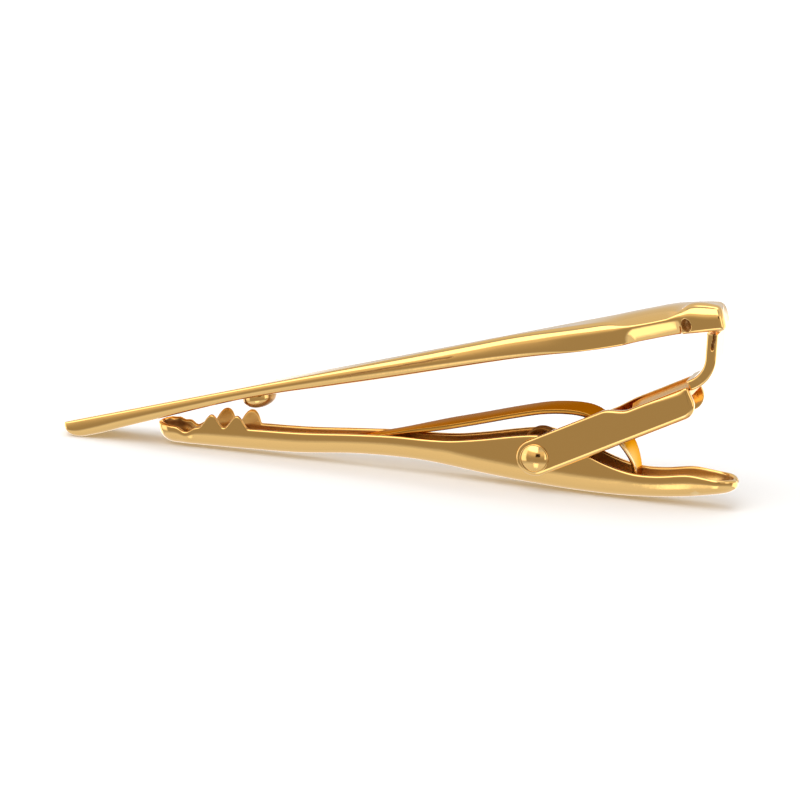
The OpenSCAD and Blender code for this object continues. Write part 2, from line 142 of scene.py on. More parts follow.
def map_range(tree, value, low, high, to=(0.0, 1.0), **settings):
    """How far value is from low to high, as a share or between the two numbers in to."""
    inputs = {"Value": value, "From Min": low, "From Max": high, "To Min": to[0], "To Max": to[1]}
    return node(tree, "ShaderNodeMapRange", inputs, **settings).outputs[0]


def ramp(tree, value, low, high, stops):
    """A smooth grey ramp: value runs from low to high, stops are [value, brightness] pairs."""
    made = node(tree, "ShaderNodeFloatCurve", {"Value": map_range(tree, value, low, high)})
    points = made.mapping.curves[0].points
    top = max(level for _, level in stops)
    while len(points) < len(stops):
        points.new(0.5, 0.5)
    for point, (place, level) in zip(points, stops):
        point.location = ((place - low) / (high - low), level / top)
        point.handle_type = "AUTO_CLAMPED"
    made.mapping.update()
    return math_node(tree, "MULTIPLY", made.outputs[0], top)


# %% Studio tent
# The base is [degrees up, level]. A patch is its name, its side, its degrees across and up, the
# softness of its edge and its level.
FRONT, REAR = 1.0, -1.0
TENT_BASE = [
    [-90, 0.85], [-60, 0.92], [-40, 0.95], [-36, 0.8], [-31, 0.7], [-26, 0.5], [-20, 0.42],
    [-12, 0.42], [0, 0.5], [8, 0.66], [14, 0.85], [26, 0.95], [60, 0.62], [90, 0.65],
]
TENT_PATCHES = [
    ("rear_upper", REAR, (-80, 80), (38, 75), 8, (0.8, 0.8, 0.8)),
    ("rear_wall", REAR, (-32, 60), (-3, 40), 3, (0.75, 0.75, 0.74)),
    ("rear_left", REAR, (-85, -20.4), (-4, 7), 1.2, (1.75, 1.75, 1.75)),
    ("rear_right", REAR, (10, 75), (-8, 9), 2.5, (1.7, 1.68, 1.66)),
    ("rear_sweep", REAR, (-75, 75), (-32, -6), 3, (1.9, 1.88, 1.86)),
    ("left_box", FRONT, (-95, -54), (-24, 48), 6, (1.6, 1.6, 1.6)),
    ("front_canopy", FRONT, (-62, 14), (30, 100), 5, (2.55, 2.55, 2.55)),
    ("rear_top", REAR, (-50, 50), (66, 100), 4, (2.7, 2.7, 2.7)),
    ("right_box", FRONT, (55, 80), (-10, 25), 5, (1.8, 1.8, 1.8)),
    ("table_glow", FRONT, (-10, 22), (-60, -34), 4, (1.9, 1.9, 1.9)),
    ("lens", FRONT, (2, 29), (3, 23), 4, (0.03, 0.02, 0.015)),
]
DARK_TINT = (1.0, 0.9, 0.76, 1.0)
LIGHT_TINT = (0.95, 0.98, 1.07, 1.0)
WARM_SPAN, WARM_SOFT = (-26, 34), 8
world = bpy.data.worlds.new("studio_tent")
scene.world = world
world.use_nodes = True
sky = world.node_tree
sky.nodes.clear()
direction = node(sky, "ShaderNodeTexCoord").outputs["Generated"]
axis = node(sky, "ShaderNodeSeparateXYZ", {0: direction}).outputs
elevation = math_node(sky, "DEGREES", math_node(sky, "ARCSINE", axis["Z"]))


def azimuth_from(facing):
    """Degrees to the right of the front (camera side) or of the rear."""
    ahead = math_node(sky, "MULTIPLY", axis["Y"], -facing)
    return math_node(sky, "DEGREES", math_node(sky, "ARCTAN2", axis["X"], ahead))


def soft_span(value, span, soft):
    """1 inside a span of degrees, 0 outside, with soft edges."""
    masks = [
        map_range(sky, value, edge - way * soft, edge + way * soft, interpolation_type="SMOOTHSTEP")
        for edge, way in zip(span, (1, -1))
    ]
    return math_node(sky, "MULTIPLY", *masks)


azimuths = {FRONT: azimuth_from(FRONT), REAR: azimuth_from(REAR)}
grey = ramp(sky, elevation, -90, 90, TENT_BASE)
tent = mix_colours(sky, soft_span(elevation, WARM_SPAN, WARM_SOFT), LIGHT_TINT, DARK_TINT)
tent = node(sky, "ShaderNodeVectorMath", {0: tent, 1: grey}, operation="MULTIPLY").outputs[0]
for _, facing, across, height, soft, level in TENT_PATCHES:
    mask = math_node(
        sky, "MULTIPLY",
        soft_span(azimuths[facing], across, soft), soft_span(elevation, height, soft),
    )
    tent = mix_colours(sky, mask, tent, (*level, 1.0))
backdrop = node(sky, "ShaderNodeBackground", {"Color": tent, "Strength": 1.0})
node(sky, "ShaderNodeOutputWorld", {"Surface": backdrop.outputs[0]})
print("tent patches:", [label for label, *_ in TENT_PATCHES])

# %% Floor
FLOOR_RADIUS = 1.6
FLOOR_COLOUR = (0.95, 0.95, 0.945, 1.0)
floor_mesh = bpy.data.meshes.new("floor")
floor_bm = bmesh.new()
bmesh.ops.create_circle(floor_bm, cap_ends=True, radius=FLOOR_RADIUS, segments=96)
floor_bm.to_mesh(floor_mesh)
floor_bm.free()
floor = add_object("floor", floor_mesh)
floor.visible_glossy = False
paper = bpy.data.materials.new("floor_paper")
paper.use_nodes = True
paper_shader = paper.node_tree.nodes["Principled BSDF"]
paper_shader.inputs["Base Color"].default_value = FLOOR_COLOUR
paper_shader.inputs["Roughness"].default_value = 0.9
paper_shader.inputs["Specular IOR Level"].default_value = 0.1
floor_mesh.materials.append(paper)
print("floor radius", FLOOR_RADIUS, "m")

# %% [markdown]
# ## Curves, rings and skins
# Stamped and cast metal is best drawn as sections along a path. `curve_at` runs a smooth curve
# through a short table, `skin` joins equal rings into a closed surface, and `finished` merges
# doubles, turns the faces outwards, shades them and sets the piece on its body. `painted` and
# `paint` carry the masks for painted shade and for the rubbed tone with its painted sheen.

# %% Curves through tables
def slope_at(table, i):
    a, b = max(i - 1, 0), min(i + 1, len(table) - 1)
    return (table[b][1] - table[a][1]) / (table[b][0] - table[a][0])


def curve_at(table, x):
    """Smooth curve through [place, value] pairs."""
    i = 0
    while i < len(table) - 2 and x >= table[i + 1][0]:
        i += 1
    h = table[i + 1][0] - table[i][0]
    s = max(0.0, min(1.0, (x - table[i][0]) / h))
    m, n = slope_at(table, i) * h, slope_at(table, i + 1) * h
    return (
        table[i][1] * (1 + 2 * s) * (1 - s) ** 2 + m * s * (1 - s) ** 2
        + table[i + 1][1] * s * s * (3 - 2 * s) + n * s * s * (s - 1)
    )


def round_end(d, r):
    """0 at an end, 1 from a distance r inwards, as a quarter round."""
    return 1.0 if d >= r else sqrt(max(0.0, 1 - (1 - d / r) ** 2))


def smooth(a, b, x):
    s = max(0.0, min(1.0, (x - a) / (b - a)))
    return s * s * (3 - 2 * s)


def spread(a, b, steps):
    """steps + 1 even values from a to b."""
    return [a + (b - a) * i / steps for i in range(steps + 1)]


def closing_in(r, steps):
    """Distances from an end, closer together towards it."""
    return [r * (1 - cos(a)) for a in spread(0, pi / 2, steps)]


# %% Skins
WELD = 0.000001


def painted(mesh=None, masks=("painted_shade",)):
    """A bmesh, empty or from a mesh, and a layer for each painted mask."""
    bm = bmesh.new()
    if mesh:
        bm.from_mesh(mesh)
    return (bm, *(bm.verts.layers.float.new(mask) for mask in masks))


def paint(verts, layer, depth):
    for vert in verts:
        vert[layer] = depth


def skin(bm, rings, start=True, end=True):
    """Joins closed rings of millimetre points into a tube, with its ends closed."""
    made = [[bm.verts.new(placed(p)) for p in ring] for ring in rings]
    count = len(made[0])
    for a, b in zip(made, made[1:]):
        for j in range(count):
            k = (j + 1) % count
            bm.faces.new((a[j], a[k], b[k], b[j]))
    if start:
        bm.faces.new(made[0])
    if end:
        bm.faces.new(list(reversed(made[-1])))
    return made


def finished(name, bm, body, node_name, slot, sharp_deg=38.0):
    """Merges doubles, turns faces outwards, shades smooth, and hangs the piece on its body."""
    bmesh.ops.remove_doubles(bm, verts=bm.verts, dist=WELD)
    bmesh.ops.recalc_face_normals(bm, faces=bm.faces)
    mesh = bpy.data.meshes.new(name)
    bm.to_mesh(mesh)
    bm.free()
    mesh.shade_smooth()
    mesh.set_sharp_from_angle(angle=radians(sharp_deg))
    mesh.materials.clear()
    mesh.materials.append(FINISHES[slot])
    piece = add_object(name, mesh)
    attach(piece, body)
    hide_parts(node_name)
    print(name, "has", len(mesh.polygons), "faces")
    return piece


# %% [markdown]
# ## Shared surface effects
# Gold plate over brass is never quite flat: it has a faint orange-peel waviness from the plating
# bath, hair-fine scratches from the polishing mop and a little rubbing on edges. On top of these
# comes painted shade: a darker, duller, less metallic tone put into hollows, recesses and parts
# that sit in shade. Each effect is a node group with named inputs, so that bar, sheet and
# springs share them at their own strengths. Two painted masks steer them: one brings the painted
# shade, and the other the rubbed tone, which on the leaf's tail also paints a pale sheen.

# %% Group maker
def new_group(name, inputs, outputs, kind="ShaderNodeTree"):
    """An empty node group: inputs are {name: (socket type, default)}, outputs {name: type}."""
    group = bpy.data.node_groups.new(name, kind)
    for label, (socket_type, value) in inputs.items():
        socket = group.interface.new_socket(name=label, in_out="INPUT", socket_type=socket_type)
        if value is not None:
            socket.default_value = value
    for label, socket_type in outputs.items():
        group.interface.new_socket(name=label, in_out="OUTPUT", socket_type=socket_type)
    source = group.nodes.new("NodeGroupInput")
    sink = group.nodes.new("NodeGroupOutput")
    return group, source.outputs, sink.inputs


def noise(tree, scale, detail, roughness=0.5, stretch=None):
    """A noise value over the piece, drawn out along x where stretch is given."""
    place = node(tree, "ShaderNodeTexCoord").outputs["Object"]
    if stretch:
        pull = node(tree, "ShaderNodeCombineXYZ", {0: stretch, 1: 1.0, 2: 1.0}).outputs[0]
        place = node(tree, "ShaderNodeVectorMath", {0: place, 1: pull}, operation="MULTIPLY")
        place = place.outputs[0]
    inputs = {"Vector": place, "Scale": scale, "Detail": detail, "Roughness": roughness}
    return node(tree, "ShaderNodeTexNoise", inputs).outputs[0]


FLOAT = "NodeSocketFloat"
COLOUR = "NodeSocketColor"

# %% Waviness of the plating
waviness, w_in, w_out = new_group(
    "plating_waviness",
    {"Scale": (FLOAT, 260.0), "Ripple": (FLOAT, 0.35)},
    {"Height": FLOAT, "Cloud": FLOAT},
)
swell = noise(waviness, w_in["Scale"], 2.0, 0.45)
peel = noise(waviness, math_node(waviness, "MULTIPLY", w_in["Scale"], 5.0), 3.0, 0.6)
fine = math_node(waviness, "MULTIPLY", peel, w_in["Ripple"])
waviness.links.new(math_node(waviness, "ADD", swell, fine), w_out["Height"])
waviness.links.new(peel, w_out["Cloud"])

# %% Hair scratches from the mop
scratches, s_in, s_out = new_group(
    "mop_scratches",
    {"Stretch": (FLOAT, 0.06), "Scale": (FLOAT, 9000.0), "Sharpness": (FLOAT, 0.62)},
    {"Mask": FLOAT},
)
hair = noise(scratches, s_in["Scale"], 4.0, 0.7, s_in["Stretch"])
above = math_node(scratches, "SUBTRACT", hair, s_in["Sharpness"])
lines = node(scratches, "ShaderNodeClamp", {"Value": math_node(scratches, "MULTIPLY", above, 9.0)})
scratches.links.new(lines.outputs[0], s_out["Mask"])

# %% Rubbed edges and painted sheen
rubbing_and_sheen, r_in, r_out = new_group(
    "rubbed_edges_and_painted_sheen",
    {"Start": (FLOAT, 0.52), "Full": (FLOAT, 0.62), "Break Up": (FLOAT, 1500.0)},
    {"Mask": FLOAT},
)
corners = node(rubbing_and_sheen, "ShaderNodeNewGeometry").outputs["Pointiness"]
edge = map_range(rubbing_and_sheen, corners, r_in["Start"], r_in["Full"])
patchy = noise(rubbing_and_sheen, r_in["Break Up"], 2.0)
# Where the painted mask is set, a painted pale sheen joins the edge wear.
painted_sheen = node(rubbing_and_sheen, "ShaderNodeAttribute", attribute_name="wear_and_sheen").outputs["Fac"]
broken = math_node(rubbing_and_sheen, "MULTIPLY", edge, patchy)
rubbing_and_sheen.links.new(math_node(rubbing_and_sheen, "MAXIMUM", broken, painted_sheen), r_out["Mask"])

# %% Painted shade in hollows
shade_group, t_in, t_out = new_group(
    "painted_hollow_shade",
    {
        "Clean": (COLOUR, (0.86, 0.53, 0.18, 1.0)),
        "Shade Colour": (COLOUR, (0.16, 0.07, 0.02, 1.0)),
        "Strength": (FLOAT, 1.0),
        "Scale": (FLOAT, 2200.0),
    },
    {"Colour": COLOUR, "Mask": FLOAT},
)
# Painted shade: the mask, mottled a little, darkens the colour towards the shade colour.
painted_shade = node(shade_group, "ShaderNodeAttribute", attribute_name="painted_shade").outputs["Fac"]
mottle = noise(shade_group, t_in["Scale"], 3.0)
uneven = map_range(shade_group, mottle, 0.3, 0.7, (0.75, 1.0))
deep = math_node(shade_group, "MULTIPLY", math_node(shade_group, "MULTIPLY", painted_shade, uneven), t_in["Strength"])
tinted = mix_colours(shade_group, deep, t_in["Clean"], t_in["Shade Colour"])
shade_group.links.new(tinted, t_out["Colour"])
shade_group.links.new(deep, t_out["Mask"])
print("shared groups:", [g.name for g in bpy.data.node_groups])

# %% [markdown]
# ## The three finishes
# The bar is cast and polished, the brightest piece. The bracket, lever and rivet are stamped
# sheet and keep faint lines along the strip they were cut from. The springs are tempered wire and
# strip in a deeper gold, which is partly painted shade for where they sit, in the trough and under
# the bracket. One function builds all three, with their own numbers.

# %% Plated finishes
GOLD = (0.86, 0.535, 0.185, 1.0)
SHEET_GOLD = (0.86, 0.53, 0.18, 1.0)
# Deeper gold for the springs, partly painted shade for the trough and bracket they sit in.
SPRING_GOLD_AND_SHADE = (0.58, 0.27, 0.045, 1.0)
PLAIN_SHEEN = (1.0, 1.0, 1.0, 1.0)
SPRING_SHEEN = (0.62, 0.31, 0.075, 1.0)
# Pale rubbed gold, for worn edges and for the painted sheen on the leaf's tail.
RUBBED_AND_SHEEN_GOLD = (0.90, 0.66, 0.34, 1.0)
# Colour of the painted shade, and how much it takes from metallic and adds to roughness.
SHADE_COLOUR = (0.27, 0.10, 0.012, 1.0)
SHADE_COVER = 0.6
SHADE_DULL = 0.4


def group_node(tree, group, inputs=None):
    return node(tree, "ShaderNodeGroup", inputs, node_tree=group)


def plated(name, colour, sheen, polish, haze, wave_depth, line_depth, wave_scale):
    """Gold plate: sheen tints its glancing light, polish is its least roughness, haze adds to it."""
    made = bpy.data.materials.new(name)
    made.use_nodes = True
    tree = made.node_tree
    shader = tree.nodes["Principled BSDF"]
    shader.inputs["Specular Tint"].default_value = sheen
    wave = group_node(tree, waviness, {"Scale": wave_scale})
    hairs = group_node(tree, scratches)
    rubbed_and_sheen = group_node(tree, rubbing_and_sheen)
    shaded = group_node(tree, shade_group, {"Clean": colour, "Shade Colour": SHADE_COLOUR})
    wear_and_sheen = mix_colours(tree, rubbed_and_sheen.outputs["Mask"], shaded.outputs["Colour"], RUBBED_AND_SHEEN_GOLD)
    tree.links.new(wear_and_sheen, shader.inputs["Base Color"])
    hazy = math_node(tree, "MULTIPLY", hairs.outputs["Mask"], haze)
    cloudy = math_node(tree, "MULTIPLY", wave.outputs["Cloud"], haze)
    # The painted shade also lowers metallic and raises roughness, so shaded places reflect less.
    covered = math_node(tree, "MULTIPLY", shaded.outputs["Mask"], SHADE_COVER)
    tree.links.new(math_node(tree, "SUBTRACT", 1.0, covered), shader.inputs["Metallic"])
    dull = math_node(tree, "MULTIPLY", shaded.outputs["Mask"], SHADE_DULL)
    rough = math_node(tree, "ADD", math_node(tree, "ADD", hazy, cloudy), dull)
    tree.links.new(math_node(tree, "ADD", rough, polish), shader.inputs["Roughness"])
    deep = math_node(tree, "MULTIPLY", wave.outputs["Height"], wave_depth)
    cut = math_node(tree, "MULTIPLY", hairs.outputs["Mask"], -line_depth)
    bump = node(
        tree, "ShaderNodeBump",
        {"Height": math_node(tree, "ADD", deep, cut), "Distance": 1.0, "Strength": 1.0},
    )
    tree.links.new(bump.outputs[0], shader.inputs["Normal"])
    return made


FINISHES = {
    "plated_bar": plated(
        "polished_bar", GOLD, PLAIN_SHEEN, 0.035, 0.05, 0.000012, 0.0000004, 300.0
    ),
    "plated_sheet": plated(
        "stamped_sheet", SHEET_GOLD, PLAIN_SHEEN, 0.05, 0.07, 0.000009, 0.0000008, 700.0
    ),
    "plated_spring": plated(
        "spring_strip", SPRING_GOLD_AND_SHADE, SPRING_SHEEN, 0.14, 0.1, 0.000004, 0.000001, 420.0
    ),
}
print("finishes:", [material.name for material in FINISHES.values()])

# %% [markdown]
# ## Front bar
# The bar is one casting, thin and flat at the left and swelling to a squared heel at the right.
# Its top is slightly domed. Its side is rolled under along the thin part, stands upright at the
# swell, is scooped under past it, and ends in a block behind a small pit. The near side differs a
# little: its shoulder is fuller, it has a belly, and its end corners are squarer. The bar could be
# carved or subdivided from a cage, but its shape follows from how its section changes, so it is
# lofted from sections whose sizes come from short tables along its length. The SHARES tables run
# from 0 at the tip to 1 at the heel.

# %% Bar sizes
BAR_LEN = 56.4
BAR_W = 5.2
BAR_TIP_W = 4.3
BAR_T = 2.0
BAR_TILT = radians(16.6)
BAR_DOME = 0.22
NEAR_DOMES = [
    [0, -0.14], [30, -0.17], [36, -0.2], [40, -0.21], [46, 0.02], [47.6, 0.16], [49.2, 0.6],
    [52.2, 0.62], [53.4, 0.2], [54.2, -0.2], [55.2, -0.2], [56.4, 0.06],
]
BAR_T_SHARES = [
    [0, 0.675], [0.05, 0.702], [0.09, 0.635], [0.141, 0.565], [0.205, 0.475], [0.268, 0.405],
    [0.343, 0.43], [0.418, 0.545], [0.516, 0.665], [0.613, 0.745], [0.708, 0.835], [0.8, 1.005],
    [0.85, 1.075], [0.895, 1.065], [0.941, 1.075], [0.97, 1.155], [1, 1.265],
]
BAR_SWELL_SHARES = [
    [0, 0], [0.5, 0.45], [0.72, 0.72], [0.8, 1], [0.85, 0.85], [0.895, 0.75], [0.935, 0.82],
    [0.97, 1], [1, 0.9],
]
TOP_ROUND_SHARES = [
    [0, 0.14], [0.3, 0.15], [0.42, 0.2], [0.5, 0.28], [0.58, 0.36], [0.66, 0.41], [0.74, 0.43],
    [0.8, 0.42], [0.845, 0.36], [0.87, 0.14], [0.93, 0.12], [0.945, 0.25], [0.96, 0.48],
    [0.98, 0.58], [1, 0.45],
]
LOW_ROUND_SHARES = [
    [0, 0.5], [0.1, 0.62], [0.4, 0.66], [0.5, 0.56], [0.58, 0.46], [0.66, 0.36], [0.74, 0.22],
    [0.79, 0.08], [0.84, 0.08], [0.93, 0.1], [0.96, 0.14], [1, 0.2],
]
HEEL_START_SHARE = 0.91
HEEL_FALL_SHARE = 0.3
TIP_RISE_SHARE = 0.85
BAR_END_W_SHARE = 0.52
TIP_ROUND = 1.45
HEEL_ROUND = 1.3
NEAR_HEEL_ROUND = 0.5
NEAR_TIP_ROUND = 0.4
NEAR_END_W_SHARE = 0.84
END_EDGE = 0.4
TIP_EDGE = 0.22
NEAR_END_PUSH, NEAR_END_REACH = 0.4, 2.5
SCOOP_FROM, SCOOP_TO = 48.45, 53.35
SCOOP_DEPTH = 0.5
SCOOP_TOP_SHARE = 0.6
PIT_AT, PIT_HALF = 53.72, 0.4
PIT_LOW_SHARE, PIT_HIGH_SHARE = 0.08, 0.6
PIT_DEPTH = 0.5
# How strongly painted shade darkens the pit and the seam line.
PIT_SHADE, SEAM_SHADE = 3, 4
MARKS_TOP_SHARE = 0.8
SIDE_BELLY = 0.075
SEAM_FROM, SEAM_TO = 23.6, 34.6
SEAM_SHARE = 0.655
SEAM_DEPTH = 0.012
SEAM_HALF = 0.055


def bar_end_inset(u):
    """How far the section draws in at the bar's two rounded ends."""
    r = END_EDGE if u > BAR_LEN / 2 else TIP_EDGE
    return r * (1 - round_end(min(u, BAR_LEN - u), r))


def bar_limits(u, near=False):
    """Half width, top and bottom of the bar at u; the near side's end corners are squarer."""
    s = max(0.0, u / BAR_LEN - HEEL_START_SHARE) / (1 - HEEL_START_SHARE)
    top = -BAR_T * HEEL_FALL_SHARE * s * s
    thick = BAR_T * curve_at(BAR_T_SHARES, u / BAR_LEN)
    low = -thick * (1 - TIP_RISE_SHARE * (1 - round_end(u, TIP_ROUND)))
    wide = BAR_TIP_W + (BAR_W - BAR_TIP_W) * curve_at(BAR_SWELL_SHARES, u / BAR_LEN)
    end_share = NEAR_END_W_SHARE if near else BAR_END_W_SHARE
    tip = round_end(u, NEAR_TIP_ROUND if near else TIP_ROUND)
    heel = round_end(BAR_LEN - u, NEAR_HEEL_ROUND if near else HEEL_ROUND)
    half = wide / 2 * (end_share + (1 - end_share) * tip * heel)
    inset = min(bar_end_inset(u), 0.4 * (top - low))
    return half - inset, top - inset, low + inset


# %% Scoop, pit and seam in the bar's sides
def scoop(u, share):
    """Depth of the scoop under the swell, share running up the side."""
    left = round_end(u - SCOOP_FROM, 1.1) if u > SCOOP_FROM else 0.0
    fade = 1 - smooth(SCOOP_TO - 0.3, SCOOP_TO, u)
    reach = SCOOP_TOP_SHARE * left
    if share >= reach or fade == 0:
        return 0.0
    return SCOOP_DEPTH * fade * ((reach - share) / SCOOP_TOP_SHARE) ** 1.5


def pit(u, share):
    """1 in the middle of the small oval pit before the heel block, 0 outside it."""
    middle = (PIT_LOW_SHARE + PIT_HIGH_SHARE) / 2
    r = hypot((u - PIT_AT) / PIT_HALF, (share - middle) / (PIT_HIGH_SHARE - middle))
    return max(0.0, 1 - r ** 3)


def seam(u, share):
    """1 on the fine casting seam along the side, 0 off it."""
    wander = SEAM_SHARE + 0.012 * sin(2.9 * u) + 0.008 * sin(9.7 * u + 1)
    ends = smooth(SEAM_FROM, SEAM_FROM + 5, u) * (1 - smooth(SEAM_TO - 0.4, SEAM_TO, u))
    return ends * max(0.0, 1 - abs(share - wander) / SEAM_HALF)


# %% One section of the bar
def bar_half_section(u, near):
    """Points (across, up, painted shade) from the bottom's middle round one side to the top's middle.
    """
    half, top, low = bar_limits(u, near)
    thick = top - low
    r_top = thick * curve_at(TOP_ROUND_SHARES, u / BAR_LEN)
    r_low = thick * curve_at(LOW_ROUND_SHARES, u / BAR_LEN)
    dome = min(curve_at(NEAR_DOMES, u), thick * 0.35) if near else min(BAR_DOME, thick * 0.25)
    lean = atan(2 * dome / (half - r_top))
    y_dome = half - r_top + r_top * sin(lean)
    bend = tan(lean) / (2 * y_dome)
    v_dome = top - bend * y_dome ** 2
    centre = v_dome - r_top * cos(lean)
    flat = half - r_low
    points = [(flat * s, low) for s in (0.0, 0.35, 0.7, 0.9)]
    for a in spread(0, pi / 2, 8):
        points.append((flat + r_low * sin(a), low + r_low * (1 - cos(a))))
    points += [(half, v) for v in spread(low + r_low, centre, 18)[1:-1]]
    for a in spread(0, pi / 2 - lean, 10):
        points.append((half - r_top + r_top * cos(a), centre + r_top * sin(a)))
    points += [(y, top - bend * y ** 2) for y in spread(y_dome, 0, 9)[1:]]
    belly = SIDE_BELLY * (1 - smooth(SCOOP_FROM - 7, SCOOP_FROM - 2.5, u))
    section = []
    for y, v in points:
        share = (v - low) / thick
        side_share = (y / half) ** 4
        marked = side_share if share < MARKS_TOP_SHARE else 0.0
        hole, line = pit(u, share) * marked, seam(u, share) * marked
        rise = (v - low - r_low) / max(centre - low - r_low, 0.1 * thick)
        lean_in = rise ** 2 if rise < 1 else 2 * rise - 1
        cut = scoop(u, share) * side_share + PIT_DEPTH * hole + SEAM_DEPTH * line
        if near and rise > 0:
            cut += belly * min(lean_in, 3.0) * side_share
        # The pit and the seam line carry painted shade as well as their cuts.
        section.append((y - cut, v, min(1.0, max(PIT_SHADE * hole, SEAM_SHADE * line))))
    return section


# %% Loft the bar
def bar_places():
    """Where the bar is cut into sections: closer at its ends, the scoop's start and the pit."""
    tip = closing_in(TIP_ROUND, 14)
    edge = closing_in(END_EDGE, 6)
    heel = [BAR_LEN - d for d in tip + edge]
    body = spread(TIP_ROUND, SCOOP_FROM - 0.3, 170) + spread(SCOOP_FROM - 0.3, SCOOP_FROM + 1.3, 24)
    scooped = spread(SCOOP_FROM + 1.3, PIT_AT - 0.6, 26)
    pitted = spread(PIT_AT - 0.6, PIT_AT + 0.6, 40)
    rest = spread(PIT_AT + 0.6, BAR_LEN - HEEL_ROUND, 12)
    every = sorted(set(round(u, 4) for u in tip + edge + body + scooped + pitted + rest + heel))
    return [u for u, after in zip(every, every[1:] + [1e9]) if after - u > 0.004]


bar_low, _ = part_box("front_bar")
bar_sections = []
for u in bar_places():
    ring = bar_half_section(u, False)
    ring += [(-y, v, h) for y, v, h in reversed(bar_half_section(u, True)[1:-1])]
    bar_sections.append((u, ring))


def along_bar(u, v):
    """Place along and height of a point of the bar before the bar is set down."""
    c, d = cos(BAR_TILT), sin(BAR_TILT)
    return u * c - v * d, u * d + v * c


spots = [along_bar(u, v) for u, ring in bar_sections for _, v, _ in ring]
BAR_SHIFT_X = (bar_low.x - rivet_at.x) / MM - min(x for x, _ in spots)
BAR_SHIFT_Z = (bar_low.z - rivet_at.z) / MM - min(z for _, z in spots)


def on_bar(u, y, v):
    """A point of the bar in place, with the heel's near corner pushed out a little."""
    near = min(1.0, max(0.0, -2 * y / BAR_W))
    push = NEAR_END_PUSH * near * smooth(BAR_LEN - NEAR_END_REACH, BAR_LEN, u)
    x, z = along_bar(u + push, v)
    return (x + BAR_SHIFT_X, y, z + BAR_SHIFT_Z)


bm, shade_layer = painted()
rings = skin(bm, [[on_bar(u, y, v) for y, v, _ in ring] for u, ring in bar_sections])
# Each point's painted shade goes into the shade layer.
for verts, (_, ring) in zip(rings, bar_sections):
    for vert, (_, _, depth) in zip(verts, ring):
        vert[shade_layer] = depth
finished("front_bar_cast", bm, "front", "front_bar", "plated_bar", 60.0)

# %% [markdown]
# ## Grip button
# A small domed stud is brazed under the thin part of the bar and presses the cloth against the
# lever. It is a turned part, so its profile is spun round its own axis.

# %% Turned parts
def turned(bm, profile, steps, to_mm):
    """Spins (radius, height) points into a closed shell; to_mm puts each point in place."""
    rings = []
    for radius, height in profile:
        turns = [2 * pi * i / steps for i in range(steps)]
        rings.append([to_mm(radius * cos(a), radius * sin(a), height) for a in turns])
    return skin(bm, rings)


def on_arc(cx, cz, rx, rz, angle):
    """Point of an ellipse."""
    a = radians(angle)
    return cx + rx * cos(a), cz + rz * sin(a)


def arc(cx, cz, rx, rz, a0, a1, steps):
    return [on_arc(cx, cz, rx, rz, a) for a in spread(a0, a1, steps)]


# %% Spin the button
BUTTON_D = 2.8
BUTTON_H = 1.15
BUTTON_FROM_TIP = 16.85
BUTTON_SINK = 0.12
BUTTON_STEPS = 72
BUTTON_SHADE = 0.75
_, _, button_low = bar_limits(BUTTON_FROM_TIP)


def on_button(x, y, height):
    """Button points hang down from the bar's underside, square to the bar."""
    return on_bar(BUTTON_FROM_TIP + x, y, button_low - height)


foot = BUTTON_H * 0.25
profile = [(0.02, -BUTTON_SINK), (BUTTON_D * 0.47, -BUTTON_SINK), (BUTTON_D * 0.5, 0.02)]
profile += [(BUTTON_D * 0.5, foot * 0.5)]
profile += arc(0, foot, BUTTON_D * 0.5, BUTTON_H - foot, 0, 89, 22)
bm, shade_layer = painted()
# Painted shade, darker towards the crown of the dome and at its front and back along the bar.
for ring, (_, height) in zip(turned(bm, profile, BUTTON_STEPS, on_button), profile):
    for i, vert in enumerate(ring):
        end = smooth(0.62, 0.9, abs(cos(2 * pi * i / BUTTON_STEPS)))
        vert[shade_layer] = BUTTON_SHADE * max(smooth(0.5, 0.85, height), end)
finished("grip_button_turned", bm, "front", "grip_button", "plated_bar")

# %% [markdown]
# ## Pivot bracket
# The bracket is folded from sheet: two long ears with round ends, joined near the open end by a
# low web. Each ear is a plate whose outer edge was rounded in the stamping tool, widest along the
# bottom, and the far ear's arm is lower. Plates with their own edge rings shade truer than one
# bevelled boolean, so each ear is an outline drawn in step by step, and the web lies between.

# %% Bracket sizes
BRACKET_LEN = 13.8
BRACKET_H = 3.04
BRACKET_T = 0.5
BRACKET_TILT = radians(27.5)
EAR_R = BRACKET_H / 2
WEB_START = 7.2
WEB_DROP = 0.45
FAR_ARM_DROP = 0.6
CORNER_R = 1.2
LEVER_W = 3.6
SIDE_GAP = 0.1
BRACKET_W = LEVER_W + 2 * SIDE_GAP + 2 * BRACKET_T
WEB_TOP = EAR_R - WEB_DROP
NEAR_LIP = 0.86
LIP_CORNER_R = 0.25
CHANNEL_DEPTH = 0.46
WEB_UNDER = 0.04
WEB_STEPS = 30
WEB_SHADE = 0.22
EDGE_TOP, EDGE_UNDER, EDGE_END, EDGE_LIP = 0.2, 0.44, 0.24, 0.26
INNER_EDGE = [(0.0, 0.045), (0.015, 0.015), (0.045, 0.0), (0.08, 0.0)]


def on_bracket(p, y, q):
    """p runs from the rivet to the open end, q across the ear."""
    c, s = cos(BRACKET_TILT), sin(BRACKET_TILT)
    return (p * c - q * s, y, p * s + q * c)


